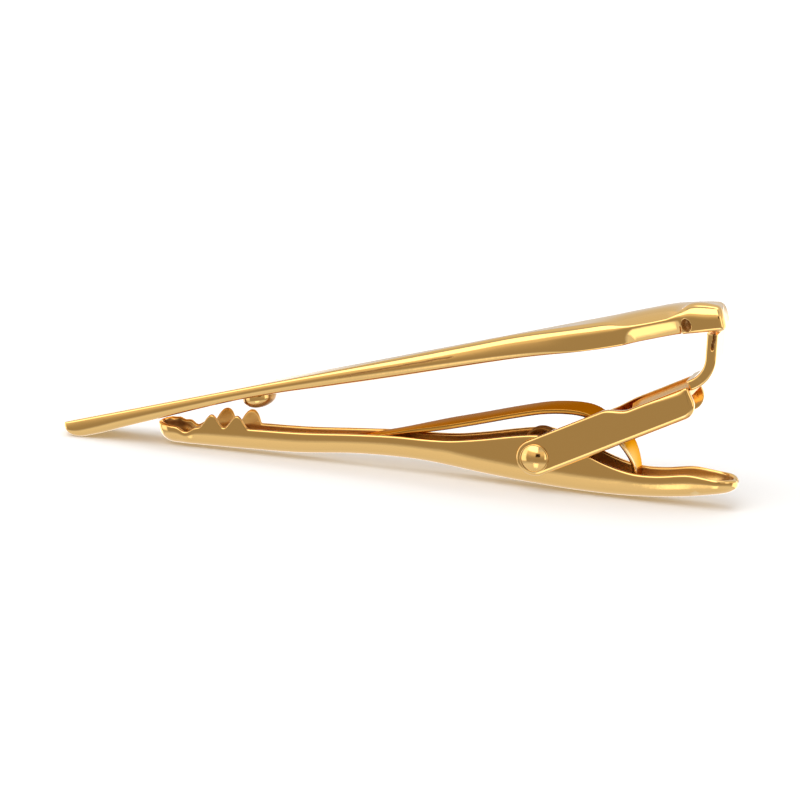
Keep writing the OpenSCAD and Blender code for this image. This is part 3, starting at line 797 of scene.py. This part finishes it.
# %% Ear outline and its edge rounding
def ear_outline(top, lip):
    """(p, q, edge radius) round an ear, from its upper left, round the rivet end, to the lip."""
    points = []
    start = degrees(asin(top / EAR_R)) if top < EAR_R else 90
    for a in spread(180 - start, 270, 40):
        r = EDGE_TOP + (EDGE_UNDER - EDGE_TOP) * smooth(165, 225, a)
        points.append((*on_arc(0, 0, EAR_R, EAR_R, a), r))
    points += [(p, -EAR_R, EDGE_UNDER) for p in spread(0, BRACKET_LEN - CORNER_R, 24)[1:-1]]
    for a in spread(-90, 0, 14):
        r = EDGE_UNDER + (EDGE_END - EDGE_UNDER) * smooth(-80, -10, a)
        corner = on_arc(BRACKET_LEN - CORNER_R, CORNER_R - EAR_R, CORNER_R, CORNER_R, a)
        points.append((*corner, r))
    r = LIP_CORNER_R
    points += [(BRACKET_LEN, q, EDGE_END) for q in spread(CORNER_R - EAR_R, lip - r, 6)[1:]]
    points += [(p, q, EDGE_END) for p, q in arc(BRACKET_LEN - r, lip - r, r, r, 15, 90, 5)]
    ramp_end = WEB_START + EAR_R
    for p in spread(BRACKET_LEN - 0.3, ramp_end, 14)[1:]:
        points.append((p, lip, EDGE_LIP + 0.2 * smooth(10, 13, p)))
    for s in spread(0, 1, 16)[1:]:
        p = ramp_end - (ramp_end - WEB_START + 0.6) * s
        points.append((p, lip + (top - lip) * smooth(0, 1, s), EDGE_LIP - 0.06 * s))
    return points + [(p, top, EDGE_TOP) for p in spread(WEB_START - 0.6, 0, 16)[1:-1]]


def outward(points, i):
    """Unit normal of an outline that is drawn anticlockwise."""
    a, b = points[i - 1], points[(i + 1) % len(points)]
    dp, dq = b[0] - a[0], b[1] - a[1]
    size = hypot(dp, dq)
    return dq / size, -dp / size


# %% Fold up the bracket
def ear(bm, side, top, lip):
    """One ear: side is -1 for the near one and 1 for the far one."""
    outline = ear_outline(top, lip)
    normals = [outward(outline, i) for i in range(len(outline))]
    outer = side * BRACKET_W / 2
    rings = []
    steps = [(1.0, 0.03, 0.0)]
    steps += [(1 - sin(a), 0.0, 1 - cos(a)) for a in spread(0, pi / 2, 9)]
    for share, extra, deep in steps:
        rings.append([
            on_bracket(
                p - np * (r * share + extra), outer - side * r * deep, q - nq * (r * share + extra)
            ) for (p, q, r), (np, nq) in zip(outline, normals)
        ])
    for inset, back_off in INNER_EDGE:
        rings.append([
            on_bracket(p - np * inset, outer - side * (BRACKET_T - back_off), q - nq * inset)
            for (p, q, _), (np, nq) in zip(outline, normals)
        ])
    skin(bm, rings)


def web_height(share):
    """Top of the web across the bracket: share is 0 at the near ear and 1 at the far one."""
    dip = CHANNEL_DEPTH * max(0.0, sin(pi * share)) ** 0.5
    return NEAR_LIP - 0.02 + (WEB_TOP - NEAR_LIP + 0.02) * share - dip


def web(bm, layer):
    """The low channel between the ears, dished across, with painted shade over its top."""
    inner = BRACKET_W / 2 - BRACKET_T * 0.6
    start = WEB_START + 0.9
    rings = []
    for p in spread(start, BRACKET_LEN - 0.05, WEB_STEPS):
        ease = 0.12 * (1 - smooth(start, start + 0.8, p))
        across = spread(-inner, inner, WEB_STEPS)
        upper = [
            on_bracket(p, y, max(web_height((y + inner) / (2 * inner)) - ease, WEB_UNDER + 0.1))
            for y in across
        ]
        lower = [on_bracket(p, y, WEB_UNDER) for y in reversed(across)]
        rings.append(upper + lower)
    # Painted shade over the channel's upper face.
    for ring in skin(bm, rings):
        paint(ring[1:WEB_STEPS], layer, WEB_SHADE)


bm, shade_layer = painted()
ear(bm, -1, EAR_R, NEAR_LIP)
ear(bm, 1, EAR_R - FAR_ARM_DROP, WEB_TOP)
web(bm, shade_layer)
finished("pivot_bracket_folded", bm, "front", "pivot_bracket", "plated_sheet", 50.0)

# %% [markdown]
# ## Neck
# A thick strip comes straight down from the heel, bends in, and is brazed between the ears. It
# is a constant section that follows a path, which is what a Geometry Nodes sweep is for: a
# rounded rectangle is drawn along the neck's centre line. The brazed fillet, the rounded end and
# the slit are then pressed into it point by point.

# %% A sweep tree for strips and wires
def sweep_tree(name, sizes, draw_section):
    """Geometry Nodes that sweep a drawn section along a curve; sizes are {input: metres}."""
    shape = "NodeSocketGeometry"
    inputs = {"Path": (shape, None), **{label: (FLOAT, value) for label, value in sizes.items()}}
    inputs["Finish"] = ("NodeSocketMaterial", None)
    group, given, result = new_group(name, inputs, {"Swept": shape}, "GeometryNodeTree")
    swept = node(group, "GeometryNodeCurveToMesh", {
        "Curve": given["Path"], "Profile Curve": draw_section(group, given), "Fill Caps": True,
    })
    real = node(group, "GeometryNodeRealizeInstances", {0: swept.outputs[0]})
    coated = node(
        group, "GeometryNodeSetMaterial",
        {"Geometry": real.outputs[0], "Material": given["Finish"]},
    )
    group.links.new(coated.outputs[0], result["Swept"])
    return group


def strip_section_nodes(group, given):
    """A rounded rectangle with points close enough to be pushed about afterwards."""
    section = node(
        group, "GeometryNodeCurvePrimitiveQuadrilateral",
        {"Width": given["Thickness"], "Height": given["Width"]}, mode="RECTANGLE",
    )
    rounded = node(
        group, "GeometryNodeFilletCurve",
        {"Curve": section.outputs[0], "Count": 8, "Radius": given["Edge Round"]}, mode="POLY",
    )
    return node(
        group, "GeometryNodeResampleCurve", {"Curve": rounded.outputs[0], "Length": given["Grain"]},
        mode="LENGTH",
    ).outputs[0]


def wire_section_nodes(group, given):
    half = math_node(group, "MULTIPLY", given["Wire Thickness"], 0.5)
    return node(
        group, "GeometryNodeCurvePrimitiveCircle", {"Resolution": 20, "Radius": half}, mode="RADIUS"
    ).outputs[0]


def swept_mesh(name, path, sizes, draw_section, slot):
    """Sweeps a section along a path, all in millimetres, and returns the plain mesh."""
    sizes = {label: size * MM for label, size in sizes.items()}
    group = sweep_tree("sweep_" + name, sizes, draw_section)
    data = bpy.data.curves.new(name + "_path", "CURVE")
    data.dimensions = "3D"
    data.twist_mode = "MINIMUM"
    spline = data.splines.new("POLY")
    spline.points.add(len(path) - 1)
    for point, place in zip(spline.points, path):
        point.co = (*placed(place), 1.0)
    carrier = add_object(name + "_carrier", data)
    modifier = carrier.modifiers.new("sweep", "NODES")
    modifier.node_group = group
    values = {**sizes, "Finish": FINISHES[slot]}
    for item in group.interface.items_tree:
        if item.name in values:
            modifier[item.identifier] = values[item.name]
    bpy.context.view_layer.update()
    evaluated = carrier.evaluated_get(bpy.context.evaluated_depsgraph_get())
    mesh = bpy.data.meshes.new_from_object(evaluated)
    mesh.name = name
    bpy.data.objects.remove(carrier)
    return mesh


# %% Sweep the neck
NECK_W = 3.9
NECK_T = 0.85
NECK_BEND_R = 2.4
NECK_TAIL = 0.35
NECK_TURN = pi / 2 - BRACKET_TILT
NECK_RISE = 0.5
NECK_EDGE = 0.2
NECK_GRAIN = 0.04
FLARE, FLARE_SIDE = 0.5, 0.35
TAIL_ROUND, TAIL_EDGE = 0.22, 0.3
SLIT_FROM, SLIT_TO = 0.12, 1.6
SLIT_HALF, SLIT_DEPTH = 0.11, 0.3
SLIT_OUT, SLIT_LEAN = 0.18, 0.1
TAIL_STEPS = (0.3, 0.5, 0.65, 0.78, 0.88, 0.95, 1.0)
_, neck_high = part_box("neck_strip")
web_middle = WEB_TOP - BRACKET_T / 2
end_x, _, end_z = on_bracket(BRACKET_LEN, 0, web_middle)
tail_x = end_x + NECK_TAIL * cos(BRACKET_TILT)
tail_z = end_z + NECK_TAIL * sin(BRACKET_TILT)
bend_x = tail_x - NECK_BEND_R * sin(BRACKET_TILT)
bend_z = tail_z + NECK_BEND_R * cos(BRACKET_TILT)
neck_x = bend_x + NECK_BEND_R
neck_top = (neck_high.z - rivet_at.z) / MM - NECK_RISE
neck_path = [(neck_x, 0, z) for z in spread(neck_top, bend_z, 90)]
for a in spread(0, NECK_TURN, 40)[1:]:
    neck_path.append((bend_x + NECK_BEND_R * cos(a), 0, bend_z - NECK_BEND_R * sin(a)))
for s in TAIL_STEPS:
    neck_path.append((tail_x + (end_x - tail_x) * s, 0, tail_z + (end_z - tail_z) * s))
neck_sizes = {"Width": NECK_W, "Thickness": NECK_T, "Edge Round": NECK_EDGE, "Grain": NECK_GRAIN}
neck_mesh = swept_mesh("neck", neck_path, neck_sizes, strip_section_nodes, "plated_bar")


def heel_bottom(x):
    """Height of the bar's underside above a place x, by halving."""
    a, b = BAR_LEN * 0.8, BAR_LEN
    for _ in range(30):
        u = (a + b) / 2
        px, _, pz = on_bar(u, 0, bar_limits(u)[2])
        a, b = (u, b) if px < x else (a, u)
    return pz


def on_neck(x, y, z, heel):
    """Braze fillet under the heel, rounded lower end, and the slit in the near edge; also gives the
    painted shade in the slit.
    """
    s = smooth(heel - FLARE, heel + 0.05, z) ** 3
    if x < neck_x:
        x -= FLARE * s
    y += copysign(FLARE_SIDE * s, y)
    past = x * cos(BRACKET_TILT) + z * sin(BRACKET_TILT) - BRACKET_LEN
    if abs(y) > NECK_W / 2 - TAIL_EDGE:
        y -= copysign(TAIL_ROUND * (1 - round_end(max(0.0, past), TAIL_ROUND)), y)
    down = heel - z
    middle = neck_x + SLIT_OUT - SLIT_LEAN * smooth(0.5, 1.3, down)
    across = 1 - abs(x - middle) / SLIT_HALF
    along = smooth(SLIT_FROM, SLIT_FROM + 0.13, down)
    along *= 1 - smooth(SLIT_TO - 0.25, SLIT_TO, down)
    open_share = along * max(0.0, min(1.0, 2 * across)) if y < -NECK_W / 2 + 0.05 else 0.0
    return (x, y + SLIT_DEPTH * open_share, z), open_share


heel = heel_bottom(neck_x)
bm, shade_layer = painted(neck_mesh)
for vert in bm.verts:
    x, y, z = ((a - b) / MM for a, b in zip(vert.co, (rivet_at.x, 0, rivet_at.z)))
    # The slit gets painted shade.
    moved, vert[shade_layer] = on_neck(x, y, z, heel)
    vert.co = placed(moved)
neck = finished("neck_strip_bent", bm, "front", "neck_strip", "plated_bar")
print("neck spans", [round(v / MM, 2) for v in (neck.dimensions.x, neck.dimensions.y)])

# %% [markdown]
# ## Rivet
# The pivot is a plain shank with a domed head on each ear. Both heads and the shank are one
# turned profile, spun round the pivot's axis.

# %% Spin the rivet
RIVET_D = 1.1
HEAD_D = 2.34
HEAD_H = 0.5
HEAD_SEAT = BRACKET_W / 2


def on_rivet(x, z, y):
    return (x, y, z)


head = [(HEAD_D * 0.5, HEAD_SEAT + 0.01), (HEAD_D * 0.5, HEAD_SEAT + 0.08)]
head += arc(HEAD_D * 0.5 - 0.07, HEAD_SEAT + 0.08, 0.07, 0.07, 25, 90, 4)
head += [(HEAD_D * 0.45, HEAD_SEAT + 0.14)]
cap_r, cap_h = HEAD_D * 0.44, HEAD_H - 0.13
sphere = (cap_r ** 2 + cap_h ** 2) / (2 * cap_h)
cap_start = degrees(acos(cap_r / sphere))
head += arc(0, HEAD_SEAT + HEAD_H - sphere, sphere, sphere, cap_start, 89.4, 26)
profile = [(r, -y) for r, y in reversed(head)]
profile += [(RIVET_D / 2, -HEAD_SEAT), (RIVET_D / 2, HEAD_SEAT)] + head
bm = bmesh.new()
turned(bm, profile, 96, on_rivet)
finished("pivot_rivet_turned", bm, "front", "pivot_rivet", "plated_sheet", 35.0)

# %% [markdown]
# ## Jaw lever
# The lever is pressed from thin sheet into a long trough with rolled lips. It narrows towards the
# jaw, where both lips carry teeth, and turns up at both ends. An outer and an inner section are
# drawn at each place and joined by round lips into one closed skin, so that the sheet has its real
# thickness everywhere.

# %% Lever sizes
LEVER_FRONT = 32.6
LEVER_BACK = 16.1
LEVER_T = 0.35
PIVOT_H = 2.62
LEVER_ROUND = 1.3
LEVER_ROLL = 1.8
TOOTH_H = 1.05
TOOTH_PITCH = 2.2
TOOTH_COUNT = 2
TOOTH_FROM_TIP = 4.95
FAR_TOOTH_SHIFT = 0.4
FAR_LEAN = 0.3
FAR_BUMPS = [(-32.0, 0.16, 0.3), (-31.3, 0.2, 0.32), (-30.2, 0.26, 0.42)]
LEVER_LOW_SHARES = [
    [-1, 0], [-0.9, 0], [-0.74, 0.05], [-0.62, 0.115], [-0.48, 0.295], [-0.37, 0.355],
    [-0.28, 0.335], [-0.14, 0.175], [0, 0.06], [0.28, 0], [0.49, 0.03], [0.74, 0.185], [1, 0.5],
]
LEVER_RIM_SHARES = [
    [-1, 0.665], [-0.96, 0.595], [-0.94, 0.575], [-0.916, 0.455], [-0.89, 0.625], [-0.85, 0.7],
    [-0.755, 0.765], [-0.61, 0.845], [-0.48, 0.985], [-0.37, 1.085], [-0.28, 1.115],
    [-0.217, 1.175], [-0.14, 1.345], [-0.07, 1.535], [-0.015, 1.655], [0.03, 1.675],
    [0.155, 1.495], [0.265, 1.215], [0.34, 1.035], [0.43, 0.88], [0.51, 0.81], [0.615, 0.835],
    [0.76, 0.97], [0.86, 0.93], [0.905, 0.9], [0.95, 0.905], [1, 0.92],
]
LEVER_W_SHARES = [
    [-1, 0.84], [-0.8, 0.8], [-0.5, 0.76], [-0.3, 0.84], [-0.1, 0.96], [0.1, 1], [1, 0.97],
]
END_RISE_SHARE = 0.85
TAB_RISE_SHARE = 0.5
END_WIDTH_SHARE = 0.04
CORNER_SHARE = 0.8
TIP_BOW = 1.6
TAB_BOW = 1.0
TAB_NOSE = 0.9
TAB_NOSE_DROP = 0.3
TIP_NOSE_DROP = 0.12
PLAN_BOW = 1.7
END_WALL = 0.42
# Painted shade inside the trough, deeper near both ends.
INSIDE_SHADE, END_SHADE = 0.4, 0.95
FAR_TOOTH_HALF, FAR_TOOTH_POWER = 0.82, 2.2


def lever_place(x):
    return x / LEVER_FRONT if x < 0 else x / LEVER_BACK


def tooth(x, side):
    """Height of the teeth above the rim; the far row stands a little behind the near one."""
    first = -LEVER_FRONT + TOOTH_FROM_TIP + (FAR_TOOTH_SHIFT if side > 0 else 0)
    n = max(0, min(TOOTH_COUNT - 1, round((x - first) / TOOTH_PITCH)))
    d = abs(x - first - n * TOOTH_PITCH) / (TOOTH_PITCH / 2)
    if side > 0:
        bumps = sum(h * exp(-((x - at) / wide) ** 2) for at, h, wide in FAR_BUMPS)
        return bumps + TOOTH_H * max(0.0, 1 - (d / FAR_TOOTH_HALF) ** FAR_TOOTH_POWER)
    return 0.0 if d >= 1 else TOOTH_H * cos(pi / 2 * d) ** 2


def rim_line(x):
    """Rim height; it rounds down over the very end of the thumb tab and, a little, of the jaw."""
    drop = TAB_NOSE_DROP * (1 - round_end(LEVER_BACK - x, TAB_NOSE))
    drop += TIP_NOSE_DROP * (1 - round_end(x + LEVER_FRONT, TAB_NOSE))
    return PIVOT_H * (curve_at(LEVER_RIM_SHARES, lever_place(x)) - 1) - drop


def low_line(x):
    return PIVOT_H * (curve_at(LEVER_LOW_SHARES, lever_place(x)) - 1)


def lever_rim(x, side):
    return rim_line(x) + tooth(x, side)


def lever_low(x):
    rise = END_RISE_SHARE * (1 - round_end(x + LEVER_FRONT, TIP_BOW))
    rise += TAB_RISE_SHARE * (1 - round_end(LEVER_BACK - x, TAB_BOW))
    return low_line(x) + (rim_line(x) - low_line(x)) * rise


def plan_share(x):
    """1 along the lever, falling almost to 0 at both ends as a rounded nose."""
    ends = round_end(min(x + LEVER_FRONT, LEVER_BACK - x), PLAN_BOW)
    return END_WIDTH_SHARE + (1 - END_WIDTH_SHARE) * ends


def lever_half(x):
    return LEVER_W / 2 * curve_at(LEVER_W_SHARES, lever_place(x))


# %% One section of the trough
SIDE_STEPS = 9
BEND_STEPS = 12
FLOOR_STEPS = 5


def far_lean(x, z):
    """The far row of teeth leans outwards, so that its faces look up a little."""
    return FAR_LEAN * max(0.0, z - rim_line(x) + 0.2)


def trough_u(x, h, d):
    """Open U of half width h from the near rim round the bottom to the far rim, drawn in by d."""
    low = lever_low(x) + d
    lip = LEVER_T / 2
    corner = min(max(min(LEVER_ROUND - d, h * CORNER_SHARE), 0.02), h * 0.95)
    roll = max(min(LEVER_ROLL - d, (rim_line(x) - low) * CORNER_SHARE), 0.02)
    near = [(x, -h, z) for z in spread(lever_rim(x, -1) - lip, low + roll, SIDE_STEPS)]
    bend = [
        (x, -h + corner - corner * cos(a), low + roll - roll * sin(a))
        for a in spread(0, pi / 2, BEND_STEPS)[1:]
    ]
    bottom = [(x, y, low) for y in spread(-h + corner, h - corner, FLOOR_STEPS)[1:-1]]
    rise = [(x, -y, z) for _, y, z in reversed(bend)]
    far = [
        (x, h + far_lean(x, z), z)
        for z in spread(low + roll, lever_rim(x, 1) - lip, SIDE_STEPS)
    ]
    return near + bend + bottom + rise + far


def lip_round(outer, inner):
    """Half-round roll from an outer rim point to an inner one."""
    middle = [(a + b) / 2 for a, b in zip(outer, inner)]
    reach = min(dist(outer, inner), LEVER_T) / 2
    points = []
    for a in spread(0, pi, 8)[1:-1]:
        points.append(tuple(
            m + (o - m) * cos(a) + (reach * sin(a) if axis == 2 else 0)
            for axis, (m, o) in enumerate(zip(middle, outer))
        ))
    return points


def inner_place(x):
    """The inside starts one wall in from each end and soon runs level with the outside."""
    front = END_WALL * (1 - smooth(0, 2.2, x + LEVER_FRONT))
    rear = END_WALL * (1 - smooth(0, 2.2, LEVER_BACK - x))
    return x + front - rear


def trough_ring(x):
    """Outer U, far lip, inner U back, near lip."""
    share, inside = plan_share(x), inner_place(x)
    outer = trough_u(x, lever_half(x) * share, 0)
    inner = trough_u(inside, (lever_half(inside) - LEVER_T) * share, LEVER_T)
    return outer, lip_round(outer[-1], inner[-1]), inner[::-1], lip_round(inner[0], outer[0])


# %% Press the lever
def lever_places():
    tip = [-LEVER_FRONT + d for d in closing_in(PLAN_BOW, 16)]
    tab = [LEVER_BACK - d for d in closing_in(PLAN_BOW, 16)]
    teeth_end = -LEVER_FRONT + TOOTH_FROM_TIP + TOOTH_COUNT * TOOTH_PITCH + 1
    toothed = spread(-LEVER_FRONT + PLAN_BOW, teeth_end, 90)
    plain = spread(teeth_end, LEVER_BACK - PLAN_BOW, 130)
    return sorted(set(round(x, 4) for x in tip + toothed + plain + tab))


def close_trough_end(bm, ring, counts, flip):
    """Closes an end: the outer U, the wall's top with its lips, and the inner U."""
    n, k = counts
    outer, far_lip = ring[:n], ring[n:n + k]
    inner, near_lip = ring[n + k:2 * n + k], ring[2 * n + k:]
    top = [outer[0], outer[-1]] + far_lip + [inner[0], inner[-1]] + near_lip
    for loop in (outer, inner, top):
        bm.faces.new(list(reversed(loop)) if flip else loop)


bm, shade_layer = painted()
sections = [trough_ring(x) for x in lever_places()]
counts = (len(sections[0][0]), len(sections[0][1]))
rings = skin(bm, [[p for part in s for p in part] for s in sections], start=False, end=False)
# Painted shade over the trough's inside, deepest near both ends.
for ring, x in zip(rings, lever_places()):
    deep_end = smooth(LEVER_BACK - 2.2, LEVER_BACK - 1, x)
    deep_end += smooth(-LEVER_FRONT + 3, -LEVER_FRONT + 1, x)
    inside = ring[sum(counts) + 1:2 * counts[0] + counts[1] - 1]
    paint(inside, shade_layer, INSIDE_SHADE + (END_SHADE - INSIDE_SHADE) * deep_end)
close_trough_end(bm, rings[0], counts, False)
close_trough_end(bm, rings[-1], counts, True)
finished("jaw_lever_pressed", bm, "jaw", "jaw_lever", "plated_sheet", 55.0)

# %% [markdown]
# ## Leaf spring
# A strip of spring temper lies in the trough, arches over the rivet and pushes up under the
# bracket's web, and dives into the thumb tab. It narrows at both ends, so it can't be a plain
# sweep: it is lofted from rounded strips along a smooth path through a few knots.

# %% Path of the leaf
LEAF_W = 3.5
LEAF_FOOT_W = 2.0
LEAF_TAIL_W = 2.1
LEAF_T = 0.45
LEAF_CROWN = 4.12
LEAF_FRONT = LEVER_FRONT * 0.675
LEAF_CROWN_X = WEB_START * 0.32
LEAF_BACK = WEB_START * 1.13
LEAF_SEAT = 0.03
LEAF_EDGE = 0.05
LEAF_UNDER_EDGE = 0.34
# How dark the painted shade is where the leaf lies down in the trough.
LEAF_SHADE = 0.5
LEAF_FRONT_SHARES = [
    [0, 0], [0.08, 0.036], [0.206, 0.142], [0.358, 0.307], [0.494, 0.472], [0.675, 0.684],
    [0.811, 0.85], [0.914, 0.96], [1, 1],
]
LEAF_BACK_SHARES = [
    [0.25, 0.985], [0.42, 0.92], [0.6, 0.81], [0.75, 0.7], [0.87, 0.57], [0.96, 0.41], [1, 0.25],
    [1, 0],
]


def trough_floor(x):
    return lever_low(x) + LEVER_T


def leaf_z(x, share):
    floor_z = trough_floor(x) + (LEAF_T if x < 0 else 0) - LEAF_SEAT
    return floor_z + share * (LEAF_CROWN - floor_z)


leaf_knots = [
    (-LEAF_FRONT + s * (LEAF_FRONT + LEAF_CROWN_X), leaf_z(-LEAF_FRONT, t))
    for s, t in LEAF_FRONT_SHARES
]
leaf_knots += [
    (LEAF_CROWN_X + s * (LEAF_BACK - LEAF_CROWN_X), leaf_z(LEAF_BACK, t))
    for s, t in LEAF_BACK_SHARES
]


def between(knots, i, s):
    """Catmull-Rom point between knot i and the next."""
    a, b, c, d = (knots[max(0, min(len(knots) - 1, i + j))] for j in (-1, 0, 1, 2))
    return tuple(
        (2 * q + (r - p) * s + (2 * p - 5 * q + 4 * r - t) * s ** 2
         + (3 * q - p - 3 * r + t) * s ** 3) / 2
        for p, q, r, t in zip(a, b, c, d)
    )


leaf_path = [between(leaf_knots, i, s / 12) for i in range(len(leaf_knots) - 1) for s in range(12)]
leaf_path.append(leaf_knots[-1])


# %% Loft the leaf
def leaf_half(x, z):
    foot = smooth(0, LEVER_FRONT * 0.14, x + LEVER_FRONT * 0.36)
    tail = 1.0 if x < LEAF_CROWN_X else smooth(0, LEAF_CROWN * 0.55, z + PIVOT_H * 0.1)
    wide = LEAF_FOOT_W + (LEAF_W - LEAF_FOOT_W) * foot
    return (LEAF_TAIL_W + (wide - LEAF_TAIL_W) * tail) / 2


def leaf_section(half):
    """Rounded rectangle as (across, depth), with the rounder edges underneath."""
    top, low = LEAF_EDGE, LEAF_UNDER_EDGE
    corners = [(half - top, -top, 0, top), (top - half, -top, 90, top),
               (low - half, low - LEAF_T, 180, low), (half - low, low - LEAF_T, 270, low)]
    return [p for x, z, start, r in corners for p in arc(x, z, r, r, start, start + 90, 7)]


leaf_rings = []
for i, (x, z) in enumerate(leaf_path):
    before, after = leaf_path[max(0, i - 1)], leaf_path[min(len(leaf_path) - 1, i + 1)]
    dx, dz = after[0] - before[0], after[1] - before[1]
    size = hypot(dx, dz)
    up_x, up_z = -dz / size, dx / size
    section = leaf_section(leaf_half(x, z))
    leaf_rings.append([(x + up_x * depth, y, z + up_z * depth) for y, depth in section])
bm, shade_layer, wear_and_sheen = painted(masks=("painted_shade", "wear_and_sheen"))
# Painted shade where the leaf lies down in the trough behind the rivet, and a painted pale sheen on its
# tail.
for ring, (x, z) in zip(skin(bm, leaf_rings), leaf_path):
    buried = smooth(0.6, -0.3, z - rim_line(min(x, LEVER_BACK - 1))) if x > 0 else 0.0
    tail = smooth(LEAF_BACK - 1.3, LEAF_BACK - 0.3, x)
    paint(ring, shade_layer, LEAF_SHADE * buried * (1 - tail))
    paint(ring, wear_and_sheen, tail)
finished("leaf_spring_arched", bm, "jaw", "leaf_spring", "plated_spring", 40.0)

# %% [markdown]
# ## Coil spring
# Two turns of thin wire wind round the rivet inside the trough, with one leg forward and one
# back. The path is a helix with straight legs, and the wire sweep tree draws the round section
# along it.

# %% Wind the coil
WIRE_D = 0.28
COIL_D = 3.0
COIL_PITCH = 0.7
COIL_TURNS = 2
COIL_SIDE = 0.5
TURN_STEPS = 40
COIL_SHADE = 0.7
COIL_LIFT = 0.8
coil_r = COIL_D / 2 - WIRE_D / 2
coil_z = (coil_r - WIRE_D / 2 - RIVET_D / 2) * COIL_LIFT
leg_len = COIL_D * 1.4
coil_span = COIL_PITCH * COIL_TURNS


def coil_leg(side, s):
    """Point of a leg: s is 0 at the coil and 1 at the leg's end."""
    end_z = trough_floor(side * leg_len) + WIRE_D / 2 - LEAF_SEAT
    z = (coil_z - coil_r) * (1 - s) + end_z * s
    return (side * leg_len * s, COIL_SIDE + side * coil_span / 2, z)


coil_path = [coil_leg(-1, s) for s in spread(1, 0.06, 10)]
for i in range(TURN_STEPS * COIL_TURNS + 1):
    a = 2 * pi * i / TURN_STEPS - pi / 2
    y = COIL_SIDE + COIL_PITCH * i / TURN_STEPS - coil_span / 2
    coil_path.append((coil_r * cos(a), y, coil_z + coil_r * sin(a)))
coil_path += [coil_leg(1, s) for s in spread(0.06, 1, 10)]
coil_sizes = {"Wire Thickness": WIRE_D}
coil_mesh = swept_mesh("coil", coil_path, coil_sizes, wire_section_nodes, "plated_spring")
bm, shade_layer = painted(coil_mesh)
# The whole coil gets painted shade, as it sits in shade inside the trough.
paint(bm.verts, shade_layer, COIL_SHADE)
finished("coil_spring_wound", bm, "jaw", "coil_spring", "plated_spring")
